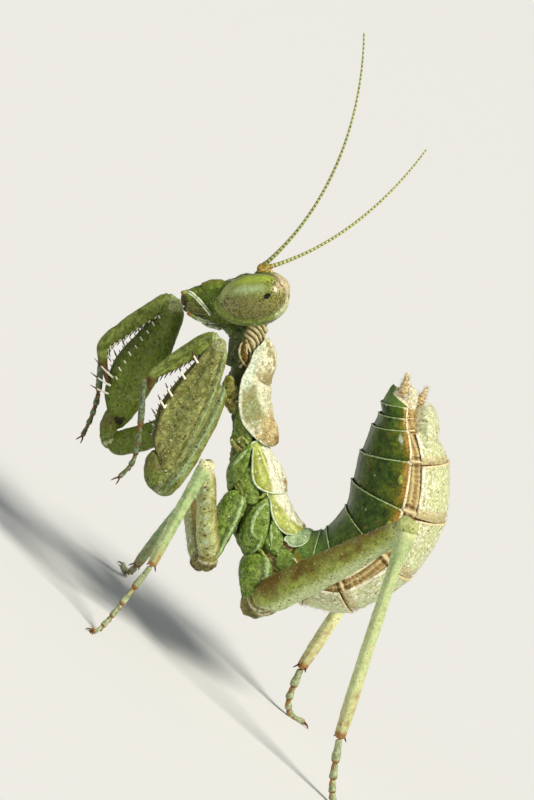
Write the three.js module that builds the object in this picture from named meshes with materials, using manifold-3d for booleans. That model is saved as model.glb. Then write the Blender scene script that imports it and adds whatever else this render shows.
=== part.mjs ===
// A praying mantis nymph of a small dwarf kind, standing at life size with its abdomen curled up.
//
// Millimetres. X runs along the floor from the head (-) to the tail (+), Y from the animal's
// left side (-) to its right side (+), and Z is up from the floor. The middle plane of the
// body is Y = 0 inside the group `mantis`, which is then set over the part's own origin.

import * as THREE from "three";
import { mergeVertices } from "three/addons/utils/BufferGeometryUtils.js";
import Module from "manifold-3d";

const wasm = await Module();
wasm.setup();

// ---------------------------------------------------------------- driving dimensions

const CLEARANCE = 0.06; // left between two pieces of the shell
const LEAST_RADIUS = 0.25; // no feeler, palp or foot is thinner than twice this
const SOLE_HEIGHT = 0.18; // a foot's middle line above the floor, low enough to leave a flat sole
const OVER_ORIGIN = [0.29, -1.75]; // moves the animal so that its box is centred over the origin

const BODY_SIDES = 12;
const LIMB_SIDES = 8;
const FINE_SIDES = 6;

const HEAD_CENTRE = [-5.82, 0, 13.81];
const FACE_SLOPE = 41.7; // degrees by which the face's long axis dips below the floor's direction
const HEAD_TURN = 4.8;
const HEAD_TILT = 2.7;

const PRONOTUM_FRONT = [-4.3, 0, 12.73];
const PRONOTUM_SLOPE = -49.3;

const FEMUR_SPINES = [0.42, 0.54, 0.67, 0.8]; // places along the fore femur
const TIBIA_SPINES = [0.34, 0.46, 0.58, 0.7];

// The trunk from the first pair of legs to the tail. Each ring is
// [x, z, heading, half width, reach to the back, reach to the belly].
const TRUNK = [
  [-4.98, 11.75, -49, 0.62, 0.5, 0.5],
  [-3.87, 10.46, -49, 0.78, 0.55, 0.65],
  [-2.75, 9.15, -48, 0.74, 0.6, 0.72],
  [-2.3, 8.55, -46, 0.82, 0.75, 0.85],
  [-1.65, 7.85, -45, 1.0, 1.1, 1.0],
  [-0.85, 7.05, -42, 1.15, 1.2, 1.1],
  [-0.1, 6.35, -38, 1.25, 1.4, 1.2],
  [0.75, 5.95, -18, 1.3, 1.45, 1.15],
  [1.55, 5.98, 5, 1.45, 1.38, 1.35],
  [2.5, 6.31, 24, 1.65, 1.47, 1.47],
  [3.46, 6.98, 55, 1.95, 1.71, 1.71],
  [4.02, 8.84, 80, 2.15, 1.89, 1.89],
  [3.67, 10.66, 103, 2.1, 1.95, 1.95],
  [2.81, 12.25, 120, 1.8, 1.68, 1.62],
  [1.95, 13.05, 122, 1.4, 1.06, 1.15],
  [1.75, 13.45, 120, 1.15, 0.95, 0.85],
  [1.5, 13.8, 118, 0.92, 0.85, 0.6],
  [0.95, 14.22, 128, 0.2, 0.18, 0.2],
];
const ABDOMEN = { first: 7, last: 17 }; // the rings between which it lies

// The shield over the prothorax: [distance from its front, top, edge, half width], the two
// heights measured square to the line from its front to its hind end.
const PRONOTUM = [
  [0.0, 0.0, -0.18, 0.35],
  [0.25, 0.12, -0.5, 0.62],
  [0.8, 0.21, -0.8, 0.9],
  [1.3, 0.05, -1.12, 1.08],
  [1.9, -0.16, -1.29, 1.18],
  [2.6, -0.19, -1.35, 1.14],
  [3.1, -0.15, -1.28, 1.04],
  [3.5, -0.06, -1.06, 0.9],
  [3.9, -0.02, -0.74, 0.68],
  [4.2, -0.08, -0.44, 0.4],
];

// Each leg's joints, from where its coxa leaves the body to the tip of its foot.
const FORE_LEGS = {
  left: {
    base: [-4.45, -0.75, 10.43],
    elbow: [-4.43, -2.5, 5.5],
    femur: [-4.46, -2.45, 6.0],
    knee: [-5.72, -2.0, 11.75],
    tibia: [[-6.22, -2.0, 11.57], [-6.6, -2.05, 10.8], [-6.94, -2.1, 9.9], [-7.19, -2.1, 9.07]],
    claw: [-6.88, -2.0, 8.45],
    wrist: [-7.41, -2.4, 8.92],
    foot: [[-6.15, -2.5, 7.12], [-6.0, -2.55, 6.34], [-5.87, -2.7, 4.91]],
  },
  right: {
    base: [-4.45, 0.75, 9.95],
    elbow: [-7.38, 2.0, 5.0],
    femur: [-7.24, 1.95, 5.5],
    knee: [-8.1, 1.6, 11.5],
    tibia: [[-8.55, 1.6, 11.31], [-8.9, 1.65, 10.55], [-9.34, 1.7, 9.37], [-9.56, 1.7, 8.3]],
    claw: [-8.47, 1.6, 7.14],
    wrist: [-9.57, 2.0, 8.07],
    foot: [[-8.64, 2.1, 6.59], [-8.31, 2.2, 5.66], [-8.14, 2.3, 4.72]],
  },
};

const WALKING_LEGS = {
  mid_left: {
    base: [-1.68, -0.8, 6.92],
    trochanter: [-1.07, -1.7, 4.36],
    knee: [-3.38, -3.9, 7.79],
    ankle: [-2.9, -4.6, 3.05],
    heel: [-2.92, -5.1, 0.6],
    toe: [-3.2, -5.9, SOLE_HEIGHT],
    thick: [0.44, 0.37, 0.27],
  },
  mid_right: {
    base: [-1.65, 0.8, 6.7],
    trochanter: [-1.31, 1.7, 3.56],
    knee: [-3.1, 5.5, 4.72],
    ankle: [-3.3, 7.3, 0.8],
    heel: [-3.35, 8.1, 0.32],
    toe: [-3.8, 9.4, SOLE_HEIGHT],
    thick: [0.44, 0.37, 0.27],
  },
  hind_left: {
    base: [0.32, -0.95, 5.61],
    trochanter: [1.4, -1.8, 4.02],
    knee: [4.45, -4.9, 10.68],
    ankle: [7.2, -5.0, 2.23],
    heel: [8.15, -5.25, 0.5],
    toe: [9.15, -5.8, SOLE_HEIGHT],
    thick: [0.6, 0.68, 0.3],
  },
  hind_right: {
    base: [0.32, 0.95, 5.32],
    trochanter: [1.37, 1.8, 3.52],
    knee: [4.22, 4.3, 10.6],
    ankle: [4.62, 4.2, 1.89],
    heel: [5.05, 4.25, 0.45],
    toe: [6.05, 4.6, SOLE_HEIGHT],
    thick: [0.6, 0.68, 0.3],
  },
};

const COLOURS = {
  green: 0x7f9440,
  darkGreen: 0x4f6a24,
  paleGreen: 0xa9b77c,
  cream: 0xcfcba0,
  olive: 0x8b8a4a,
  brown: 0x7a5a34,
};

// ---------------------------------------------------------------- shapes

const degrees = THREE.MathUtils.degToRad;
const vector = (xyz) => new THREE.Vector3(...xyz);

// A closed three.js geometry, its vertices moved by `place`, as a solid for joins and cuts.
function solid(geometry, place) {
  geometry.deleteAttribute("normal");
  geometry.deleteAttribute("uv");
  const merged = mergeVertices(geometry, 1e-4);
  const position = merged.getAttribute("position");
  for (let i = 0; i < position.count; i++) {
    const moved = place(new THREE.Vector3().fromBufferAttribute(position, i));
    position.setXYZ(i, moved.x, moved.y, moved.z);
  }
  return new wasm.Manifold(
    new wasm.Mesh({
      numProp: 3,
      vertProperties: position.array,
      triVerts: new Uint32Array(merged.index.array),
    }),
  );
}

// A closed tube through rings of { at, axis, up, wide, high, low }, made `grow` larger all over.
function loft(rings, sides, grow) {
  const rows = rings.length - 1;
  return solid(new THREE.CylinderGeometry(1, 1, 1, sides, rows), (point) => {
    const row = Math.round((point.y + 0.5) * rows);
    const { at, axis, up, wide, high, low } = rings[row];
    const side = new THREE.Vector3().crossVectors(axis, up).normalize();
    const top = new THREE.Vector3().crossVectors(side, axis).normalize();
    const end = row === 0 ? -grow : row === rows ? grow : 0;
    const reach = point.z > 0 ? high : low;
    return at
      .clone()
      .addScaledVector(side, point.x * (wide + grow))
      .addScaledVector(top, point.z * (reach + grow))
      .addScaledVector(axis, end);
  });
}

// Rings along a curve. The profile's rows are [share of the length, wide, high, low].
function along(curve, profile, up) {
  return profile.map(([share, wide, high, low = high]) => ({
    at: curve.getPointAt(share),
    axis: curve.getTangentAt(share),
    up,
    wide,
    high,
    low,
  }));
}

const line = (from, to) => new THREE.LineCurve3(vector(from), vector(to));
const through = (...points) => new THREE.CatmullRomCurve3(points.map(vector), false, "centripetal");

// A long thin piece of one thickness that narrows a little at its end.
function thread(curve, steps, radius) {
  const profile = [];
  for (let i = 0; i <= steps; i++) {
    const share = i / steps;
    const size = radius * (share === 1 ? 0.7 : 1);
    profile.push([share, size, size]);
  }
  return along(curve, profile, new THREE.Vector3(0, 1, 0));
}

// An egg: a ball stretched to `half` along the three columns of `frame`.
function egg(frame, half, grow) {
  const ball = new THREE.SphereGeometry(1, 12, 9);
  return solid(ball, (point) => {
    point.set(point.x * (half[0] + grow), point.y * (half[1] + grow), point.z * (half[2] + grow));
    return point.applyMatrix4(frame);
  });
}

// Thorns standing on a piece: each a cone from its foot to its tip.
function thorn(foot, tip, radius) {
  const curve = line(foot.toArray(), tip.toArray());
  const profile = [[0, radius, radius], [1, 0.03, 0.03]];
  return loft(along(curve, profile, new THREE.Vector3(0.3, 0.9, 0.3)), 4, 0);
}

// ---------------------------------------------------------------- fitting pieces together

const mantis = new THREE.Group();
const placed = [];

const meets = (a, b) =>
  [0, 1, 2].every((i) => a.min[i] < b.max[i] && b.min[i] < a.max[i]);

const largest = (body) =>
  body.decompose().reduce((a, b) => (a.volume() > b.volume() ? a : b));

// Adds a piece that gives way to every piece added before it. `make(grow)` returns its solid.
function add(name, colour, make, material = {}) {
  let body = make(0);
  for (const other of placed)
    if (meets(body.boundingBox(), other.room.boundingBox())) body = body.subtract(other.room);
  body = largest(body);
  placed.push({ name, room: make(CLEARANCE) });
  const { vertProperties, triVerts } = body.getMesh();
  const geometry = new THREE.BufferGeometry();
  geometry.setAttribute("position", new THREE.BufferAttribute(vertProperties, 3));
  geometry.setIndex(new THREE.BufferAttribute(triVerts, 1));
  const look = { color: colour, roughness: 0.55, metalness: 0, flatShading: true, ...material };
  const mesh = new THREE.Mesh(geometry, new THREE.MeshStandardMaterial(look));
  mesh.name = name;
  mantis.add(mesh);
}

const SIDES = { left: -1, right: 1 };

// ---------------------------------------------------------------- head

// The head's own frame: x out of the face, y to the animal's right, z down the face.
function headFrame() {
  const down = new THREE.Vector3(-Math.cos(degrees(FACE_SLOPE)), 0, -Math.sin(degrees(FACE_SLOPE)));
  const right = new THREE.Vector3(0, 1, 0);
  const out = new THREE.Vector3().crossVectors(right, down);
  return new THREE.Matrix4()
    .makeBasis(out, right, down)
    .multiply(new THREE.Matrix4().makeRotationZ(degrees(HEAD_TURN)))
    .multiply(new THREE.Matrix4().makeRotationX(degrees(HEAD_TILT)))
    .setPosition(vector(HEAD_CENTRE));
}
const HEAD = headFrame();
const onHead = (out, right, down) => new THREE.Vector3(out, right, down).applyMatrix4(HEAD).toArray();

for (const [side, sign] of Object.entries(SIDES)) {
  const frame = HEAD.clone()
    .multiply(new THREE.Matrix4().makeTranslation(0, sign * 1.42, 0))
    .multiply(new THREE.Matrix4().makeRotationX(sign * degrees(18)));
  const look = { roughness: 0.3 };
  add(`eye_${side}`, COLOURS.olive, (grow) => egg(frame, [0.88, 0.74, 1.4], grow), look);
}

// The capsule is an egg that narrows toward the mouth.
function capsule(grow) {
  return solid(new THREE.SphereGeometry(1, 14, 9), (point) => {
    const down = point.z > 0 ? 1.85 : 1.32;
    const narrow = point.z > 0 ? 1 - 0.3 * point.z * point.z : 1;
    point.x = point.x * ((point.x > 0 ? 1.0 : 1.22) + grow) * narrow;
    point.y = point.y * (1.42 + grow) * narrow;
    point.z = point.z * (down + grow);
    return point.applyMatrix4(HEAD);
  });
}
add("head", COLOURS.green, capsule);

const faceUp = new THREE.Vector3(1, 0, 0).transformDirection(HEAD);
add("clypeus_labrum", COLOURS.green, (grow) => {
  const curve = through(onHead(0.35, 0, 1.2), onHead(0.3, 0, 2.0), onHead(0.12, 0, 2.85));
  const profile = [[0, 0.62, 0.42, 0.35], [0.35, 0.55, 0.46, 0.3], [0.7, 0.42, 0.36, 0.3], [1, 0.22, 0.2, 0.2]];
  return loft(along(curve, profile, faceUp), LIMB_SIDES, grow);
});
add("mouthparts", COLOURS.brown, (grow) => {
  const curve = through(onHead(-0.75, 0, 0.9), onHead(-0.62, 0, 1.8), onHead(-0.3, 0, 2.8));
  const profile = [[0, 0.6, 0.5], [0.4, 0.58, 0.48, 0.42], [0.75, 0.48, 0.4, 0.3], [1, 0.25, 0.22, 0.2]];
  return loft(along(curve, profile, faceUp), LIMB_SIDES, grow);
});
for (const [side, sign] of Object.entries(SIDES))
  add(`palp_${side}`, COLOURS.paleGreen, (grow) => {
    const curve = through(
      onHead(-0.62, sign * 0.75, 1.75),
      onHead(-0.1, sign * 0.85, 2.1),
      onHead(0.45, sign * 0.72, 2.7),
    );
    return loft(thread(curve, 5, LEAST_RADIUS), FINE_SIDES, grow);
  });

// A feeler leaves the face at `rise` degrees above the floor and bends over as it goes.
function feeler({ base, length, rise, bend, splay, spread }) {
  const steps = 10;
  const at = vector(base);
  const points = [at.toArray()];
  for (let i = 0; i < steps; i++) {
    const share = (i + 0.5) / steps;
    const pitch = degrees(rise + bend * share);
    const out = degrees(splay + spread * share);
    const run = Math.cos(out) * (length / steps);
    at.x += Math.cos(pitch) * run;
    at.y += Math.sin(out) * (length / steps);
    at.z += Math.sin(pitch) * run;
    points.push(at.toArray());
  }
  return through(...points);
}
const FEELERS = {
  left: { base: onHead(1.02, -0.42, -0.45), length: 10.95, rise: 75, bend: 53, splay: -12, spread: 2 },
  right: { base: onHead(1.0, 0.3, -0.57), length: 9.2, rise: 51, bend: 42, splay: 24, spread: 16 },
};
for (const side of Object.keys(SIDES))
  add(`antenna_${side}`, COLOURS.brown, (grow) =>
    loft(thread(feeler(FEELERS[side]), 12, LEAST_RADIUS), FINE_SIDES, grow),
  );

// ---------------------------------------------------------------- thorax

// The trunk at a place between its rings, such as 4.5 for halfway from ring 4 to ring 5.
const trunkLine = new THREE.CatmullRomCurve3(TRUNK.map(([x, z]) => new THREE.Vector3(x, 0, z)));
function trunkRing(place, scale = 1) {
  const index = Math.min(Math.floor(place), TRUNK.length - 2);
  const share = place - index;
  const mix = (column) => THREE.MathUtils.lerp(TRUNK[index][column], TRUNK[index + 1][column], share);
  const heading = degrees(mix(2));
  return {
    at: trunkLine.getPoint(place / (TRUNK.length - 1)),
    axis: new THREE.Vector3(Math.cos(heading), 0, Math.sin(heading)),
    up: new THREE.Vector3(-Math.sin(heading), 0, Math.cos(heading)),
    wide: mix(3) * scale,
    high: mix(4) * scale,
    low: mix(5) * scale,
  };
}
const trunkPiece = (places, grow) =>
  loft(places.map((place) => trunkRing(place)), BODY_SIDES, grow);

// A shield over the back between two places of the trunk, its edge `edge` above the trunk's line.
function shield(places, edge, spare, grow) {
  const rings = places.map(([place, share]) => {
    const ring = trunkRing(place);
    ring.at.addScaledVector(ring.up, edge);
    return {
      ...ring,
      wide: (ring.wide + spare) * share,
      high: (ring.high + spare - edge) * share,
      low: 0.12,
    };
  });
  return loft(rings, BODY_SIDES, grow);
}

// The lobe that will become a wing: a flat tongue lying back along the flank.
function pad(from, middle, to, half, grow) {
  const lobes = Object.values(SIDES).map((sign) => {
    const mirror = ([x, y, z]) => [x, sign * y, z];
    const curve = through(mirror(from), mirror(middle), mirror(to));
    const profile = [[0, half * 0.6, 0.2], [0.35, half, 0.25], [0.75, half * 0.95, 0.25], [1, half * 0.45, 0.2]];
    return loft(along(curve, profile, new THREE.Vector3(0.5, sign * 0.75, 0.45)), FINE_SIDES, grow);
  });
  return lobes[0].add(lobes[1]);
}

add("pronotum", COLOURS.cream, (grow) => {
  const slope = degrees(PRONOTUM_SLOPE);
  const axis = new THREE.Vector3(Math.cos(slope), 0, Math.sin(slope));
  const up = new THREE.Vector3(-Math.sin(slope), 0, Math.cos(slope));
  const rings = PRONOTUM.map(([back, top, edge, wide]) => ({
    at: vector(PRONOTUM_FRONT).addScaledVector(axis, back).addScaledVector(up, edge),
    axis,
    up,
    wide,
    high: top - edge,
    low: 0.12,
  }));
  return loft(rings, BODY_SIDES, grow);
});
add("prothorax", COLOURS.darkGreen, (grow) => trunkPiece([0, 0.6, 1.3, 2, 2.6], grow));
add("neck", COLOURS.paleGreen, (grow) => {
  const curve = through([-5.45, 0, 12.9], [-5.21, 0, 12.41], [-4.95, 0, 12.0], [-4.75, 0, 11.6]);
  const profile = [[0, 0.75, 0.72], [0.3, 0.7, 0.7], [0.6, 0.66, 0.68], [1, 0.62, 0.62]];
  return loft(along(curve, profile, new THREE.Vector3(0.8, 0, 0.6)), BODY_SIDES, grow);
});
add("mesonotum", COLOURS.paleGreen, (grow) =>
  shield([[3.1, 0.9], [3.8, 1], [4.6, 1], [5.05, 0.88]], 0.35, 0.08, grow).add(
    pad([-2.2, 0.8, 9.0], [-1.62, 1.12, 8.35], [-0.72, 1.1, 7.92], 0.5, grow),
  ),
);
add("metanotum", COLOURS.paleGreen, (grow) =>
  shield([[5.0, 0.95], [5.6, 1], [6.4, 1], [6.95, 0.88]], 0.45, 0.06, grow).add(
    pad([-0.75, 1.1, 7.85], [0.0, 1.32, 7.5], [1.0, 1.15, 7.1], 0.5, grow),
  ),
);
add("mesothorax", COLOURS.green, (grow) => trunkPiece([2.6, 3, 3.6, 4.3, 5], grow));
add("metathorax", COLOURS.green, (grow) => trunkPiece([5, 5.7, 6.3, 7], grow));

// ---------------------------------------------------------------- abdomen

// Ten rings of shell, each flared over the front of the next one.
function abdomenRing(place, grow) {
  const shares = [[0, 0.97], [0.45, 1], [0.85, 1.02], [1, 1.0]];
  return loft(shares.map(([share, scale]) => trunkRing(place + share, scale)), BODY_SIDES, grow);
}
for (let i = 0; i < ABDOMEN.last - ABDOMEN.first; i++) {
  const colour = i < 2 ? COLOURS.paleGreen : COLOURS.darkGreen;
  add(`abdomen_${i + 1}`, colour, (grow) => abdomenRing(ABDOMEN.first + i, grow));
  // The seventh ring carries the plate that closes the abdomen from below.
  if (i === 6)
    add("subgenital_plate", COLOURS.paleGreen, (grow) => {
      const curve = through([3.45, 0, 13.05], [2.95, 0, 13.7], [2.3, 0, 14.25]);
      const profile = [[0, 1.4, 0.3, 0.42], [0.4, 1.2, 0.3, 0.4], [0.75, 0.85, 0.3, 0.3], [1, 0.4, 0.25, 0.2]];
      return loft(along(curve, profile, new THREE.Vector3(-0.8, 0, -0.6)), LIMB_SIDES, grow);
    });
}
const CERCI = {
  left: [[1.56, -0.55, 14.05], [0.95, -0.65, 15.0]],
  right: [[2.05, 0.45, 14.05], [1.92, 0.6, 14.9]],
};
for (const side of Object.keys(SIDES))
  add(`cercus_${side}`, COLOURS.brown, (grow) => {
    const profile = [[0, 0.32, 0.32], [0.4, 0.28, 0.28], [1, 0.06, 0.06]];
    return loft(along(line(...CERCI[side]), profile, new THREE.Vector3(0, 1, 0)), LIMB_SIDES, grow);
  });

// ---------------------------------------------------------------- grasping legs

const ACROSS = new THREE.Vector3(0, 1, 0);

for (const [side, leg] of Object.entries(FORE_LEGS)) {
  const sign = SIDES[side];

  add(`fore_coxa_${side}`, COLOURS.green, (grow) => {
    const profile = [[0, 0.42, 0.45], [0.12, 0.5, 0.52], [0.5, 0.48, 0.54], [0.8, 0.52, 0.7], [0.94, 0.45, 0.62], [1, 0.3, 0.35]];
    const facing = new THREE.Vector3(1, 0, 0.4);
    return loft(along(line(leg.base, leg.elbow), profile, facing), LIMB_SIDES, grow);
  });

  // The femur is a deep blade. Its spiny edge faces forward, away from the body.
  const femur = line(leg.femur, leg.knee);
  const spinyEdge = new THREE.Vector3(-1, 0, -0.2);
  const blade = [
    [0, 0.3, 0.3, 0.32],
    [0.12, 0.42, 0.62, 0.46],
    [0.26, 0.5, 1.02, 0.54],
    [0.42, 0.5, 1.26, 0.62],
    [0.6, 0.46, 1.0, 0.64],
    [0.8, 0.38, 0.62, 0.54],
    [0.94, 0.34, 0.48, 0.42],
    [1, 0.26, 0.3, 0.3],
  ];
  const edgeAt = (share, profile) => {
    const next = profile.findIndex(([at]) => at >= share);
    const [a, b] = [profile[next - 1], profile[next]];
    return THREE.MathUtils.mapLinear(share, a[0], b[0], a[2], b[2]);
  };
  add(`fore_femur_${side}`, COLOURS.olive, (grow) => {
    let body = loft(along(femur, blade, spinyEdge), LIMB_SIDES, grow);
    for (const share of FEMUR_SPINES)
      for (const row of [-1, 1]) {
        const foot = femur
          .getPointAt(share)
          .addScaledVector(spinyEdge, edgeAt(share, blade) * 0.8)
          .addScaledVector(ACROSS, row * 0.2);
        const tip = foot
          .clone()
          .addScaledVector(spinyEdge, 0.5)
          .addScaledVector(ACROSS, row * 0.12)
          .add(new THREE.Vector3(0.05, 0, 0.25));
        body = body.add(thorn(foot, tip, 0.12));
      }
    return body;
  });

  // The tibia folds back along the femur and ends in a hook.
  const tibia = through(leg.knee, ...leg.tibia, leg.claw);
  const shank = [
    [0, 0.26, 0.26],
    [0.1, 0.28, 0.28],
    [0.35, 0.3, 0.34],
    [0.6, 0.3, 0.34],
    [0.78, 0.28, 0.27],
    [0.9, 0.18, 0.18],
    [1, 0.05, 0.05],
  ];
  const inner = new THREE.Vector3(1, 0, -0.35);
  add(`fore_tibia_${side}`, COLOURS.green, (grow) => {
    let body = loft(along(tibia, shank, ACROSS), LIMB_SIDES, grow);
    for (const share of TIBIA_SPINES) {
      const foot = tibia.getPointAt(share).addScaledVector(inner, 0.2);
      const tip = foot.clone().addScaledVector(inner, 0.36).add(new THREE.Vector3(0, 0, -0.3));
      body = body.add(thorn(foot, tip, 0.1));
    }
    return body;
  });

  add(`fore_tarsus_${side}`, COLOURS.brown, (grow) =>
    loft(thread(through(leg.wrist, ...leg.foot), 8, LEAST_RADIUS), FINE_SIDES, grow),
  );
}

// ---------------------------------------------------------------- walking legs

// Everything above the floor, so that each foot ends in a small flat.
const aboveFloor = (grow) =>
  solid(new THREE.BoxGeometry(60, 60, 60), (point) => point.add(new THREE.Vector3(0, 0, 30 - grow)));

for (const [name, leg] of Object.entries(WALKING_LEGS)) {
  const [coxaSize, femurSize, tibiaSize] = leg.thick;
  const facing = new THREE.Vector3(1, 0, 0.2);

  add(name.replace("_", "_coxa_"), COLOURS.green, (grow) => {
    const profile = [[0, 0.8], [0.25, 1.05], [0.6, 0.95], [0.9, 0.8], [1, 0.6]].map(([share, size]) => [
      share,
      size * coxaSize,
      size * coxaSize * 1.1,
    ]);
    return loft(along(line(leg.base, leg.trochanter), profile, facing), LIMB_SIDES, grow);
  });
  add(name.replace("_", "_femur_"), COLOURS.olive, (grow) => {
    const sizes = [[0, 0.75], [0.08, 1], [0.3, 1], [0.7, 0.82], [0.92, 0.75], [1, 0.6]];
    const profile = sizes.map(([share, size]) => {
      const radius = Math.max(LEAST_RADIUS * 0.9, size * femurSize);
      return [share, radius * 0.85, radius];
    });
    return loft(along(line(leg.trochanter, leg.knee), profile, facing), LIMB_SIDES, grow);
  });
  add(name.replace("_", "_tibia_"), COLOURS.green, (grow) => {
    const sizes = [[0, 1], [0.06, 1.1], [0.2, 1], [0.9, 0.92], [1, 0.9]];
    const profile = sizes.map(([share, size]) => [share, size * tibiaSize, size * tibiaSize]);
    return loft(along(line(leg.knee, leg.ankle), profile, facing), FINE_SIDES, grow);
  });
  add(name.replace("_", "_tarsus_"), COLOURS.brown, (grow) => {
    const sole = vector(leg.heel).lerp(vector(leg.toe), 0.4).setZ(SOLE_HEIGHT).toArray();
    const foot = through(leg.ankle, leg.heel, sole, leg.toe);
    return loft(thread(foot, 7, LEAST_RADIUS), FINE_SIDES, grow).intersect(aboveFloor(grow));
  });
}

// ---------------------------------------------------------------- the part

mantis.position.set(...OVER_ORIGIN, 0);
const part = new THREE.Group();
part.add(mantis);

export default part;
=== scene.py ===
"""A praying mantis nymph as a life-size museum model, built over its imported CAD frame.

Every length below is in millimetres in the animal's own frame: X runs from head (-) to tail (+),
Y from its left side (-) to its right side (+), and Z is up from the floor.
"""

import math

import bpy
import numpy as np
from mathutils import Matrix


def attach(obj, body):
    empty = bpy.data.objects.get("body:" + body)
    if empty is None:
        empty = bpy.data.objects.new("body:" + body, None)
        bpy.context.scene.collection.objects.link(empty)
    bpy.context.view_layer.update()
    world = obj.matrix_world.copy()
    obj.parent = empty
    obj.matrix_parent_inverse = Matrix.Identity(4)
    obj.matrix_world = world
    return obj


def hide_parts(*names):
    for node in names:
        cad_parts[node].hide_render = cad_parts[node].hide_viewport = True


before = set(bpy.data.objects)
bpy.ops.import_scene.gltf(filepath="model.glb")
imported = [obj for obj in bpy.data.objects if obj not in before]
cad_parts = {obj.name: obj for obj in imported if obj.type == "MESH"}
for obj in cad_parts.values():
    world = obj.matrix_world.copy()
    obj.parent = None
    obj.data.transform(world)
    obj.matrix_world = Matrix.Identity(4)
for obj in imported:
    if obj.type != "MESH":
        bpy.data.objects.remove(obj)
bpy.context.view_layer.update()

# ------ body skin
# The soft skin of the trunk, from the first legs to the tail. It shows between the shell
# plates as tan folds down both flanks and as dark gaps where plates meet. One closed tube.

MM = 0.001
OVER_ORIGIN = np.array([0.29, -1.75, 0.0])  # sets the animal's box over the frame's origin

# Rings of the trunk: x, z, heading in degrees, half width, reach to the back, reach to the belly.
TRUNK = np.array([
    [-4.98, 11.75, -49, 0.62, 0.5, 0.5],
    [-3.87, 10.46, -49, 0.78, 0.55, 0.65],
    [-2.75, 9.15, -48, 0.74, 0.6, 0.72],
    [-2.3, 8.55, -46, 0.82, 0.75, 0.85],
    [-1.65, 7.85, -45, 1.0, 1.1, 1.0],
    [-0.85, 7.05, -42, 1.15, 1.2, 1.1],
    [-0.1, 6.35, -38, 1.25, 1.4, 1.2],
    [0.75, 5.95, -18, 1.3, 1.45, 1.15],
    [1.55, 5.98, 5, 1.45, 1.38, 1.35],
    [2.5, 6.31, 24, 1.65, 1.47, 1.47],
    [3.46, 6.98, 55, 1.95, 1.71, 1.71],
    [4.02, 8.84, 80, 2.15, 1.89, 1.89],
    [3.67, 10.66, 103, 2.1, 1.95, 1.95],
    [2.81, 12.25, 120, 1.8, 1.68, 1.62],
    [1.95, 13.05, 122, 1.4, 0.97, 1.15],
    [1.75, 13.45, 120, 1.15, 0.79, 0.85],
    [1.5, 13.8, 118, 0.92, 0.74, 0.6],
    [0.95, 14.22, 128, 0.2, 0.18, 0.2],
])
LAST_RING = len(TRUNK) - 1
FIRST_TERGITE = 7  # the ring where the abdomen begins; each of its segments is one ring long


def unit(vectors):
    return vectors / np.maximum(np.linalg.norm(vectors, axis=-1, keepdims=True), 1e-9)


def smooth_rows(at, rows):
    """Rows of [position, values...] joined by a smooth curve and read at each position."""
    rows = np.asarray(rows, float)
    x, y = rows[:, 0], rows[:, 1:]
    slope = np.gradient(y, x, axis=0)
    at = np.clip(at, x[0], x[-1])
    i = np.clip(np.searchsorted(x, at, side="right") - 1, 0, len(x) - 2)
    gap = (x[i + 1] - x[i])[..., None]
    t = (at - x[i])[..., None] / gap
    start = (1 + 2 * t) * (1 - t) ** 2 * y[i] + t * (1 - t) ** 2 * gap * slope[i]
    return start + t * t * (3 - 2 * t) * y[i + 1] + t * t * (t - 1) * gap * slope[i + 1]


def ramp(value, low, high):
    """0 below `low`, 1 above `high` and smooth between. Low may be the larger."""
    t = np.clip((value - low) / (high - low), 0, 1)
    return t * t * (3 - 2 * t)


def bell(value, middle, width):
    """1 where the value is at `middle`, falling away smoothly over about `width` each way."""
    return np.exp(-((value - middle) / width) ** 2)


def crowded(count, share=0.94):
    """Columns from -1 to 1 that crowd towards both ends."""
    steps = np.linspace(-1, 1, count) * np.pi / 2 * share
    return np.sin(steps)[None] / math.sin(np.pi / 2 * share)


def noise(points, size, seed):
    """A smooth random field in -1..1 whose lumps are about `size` across."""
    cell = np.asarray(points, float) / size + seed * 7.31
    base = np.floor(cell).astype(np.int64)
    part = cell - base
    part = part * part * (3 - 2 * part)
    total = 0.0
    for corner in np.ndindex(2, 2, 2):
        key = base + corner
        mixed = key[..., 0] * 73856093 ^ key[..., 1] * 19349663 ^ key[..., 2] * 83492791
        mixed = (mixed ^ (mixed >> 13)) * 1274126177 & 0xFFFFFF
        weight = np.prod(np.where(np.array(corner) == 1, part, 1 - part), axis=-1)
        total = total + weight * (mixed / 0x7FFFFF - 1.0)
    return total


def on_trunk(place, angle, lift=0.0):
    """A point on the trunk at a place between its rings, `angle` degrees round from the back
    (left is negative, 180 is the belly), and `lift` out from its surface."""
    place, angle = np.broadcast_arrays(np.asarray(place, float), np.radians(angle))
    rings = np.c_[np.arange(len(TRUNK)), TRUNK]
    x, z, heading, half, back, belly = np.moveaxis(smooth_rows(place, rings), -1, 0)
    heading = np.radians(heading)
    none = np.zeros_like(x)
    up = np.stack([-np.sin(heading), none, np.cos(heading)], -1)
    right = np.array([0.0, 1.0, 0.0])
    across, high = np.sin(angle), np.cos(angle)
    reach = np.where(high > 0, back, belly)
    normal = unit(right * (across / half)[..., None] + up * (high / reach)[..., None])
    centre = np.stack([x, none, z], -1)
    surface = centre + right * (half * across)[..., None] + up * (reach * high)[..., None]
    return surface + normal * np.asarray(lift, float)[..., None]


def facing_out(part):
    """Turns a closed part's faces round if they point inwards."""
    p, f = part["points"], part["faces"]
    a, b, c, d = (p[f[:, i]] for i in range(4))
    volume = np.sum(np.cross(a, b) * c) + np.sum(np.cross(a, c) * d)
    if volume < 0:
        part["faces"] = f[:, ::-1]
    return part


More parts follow.
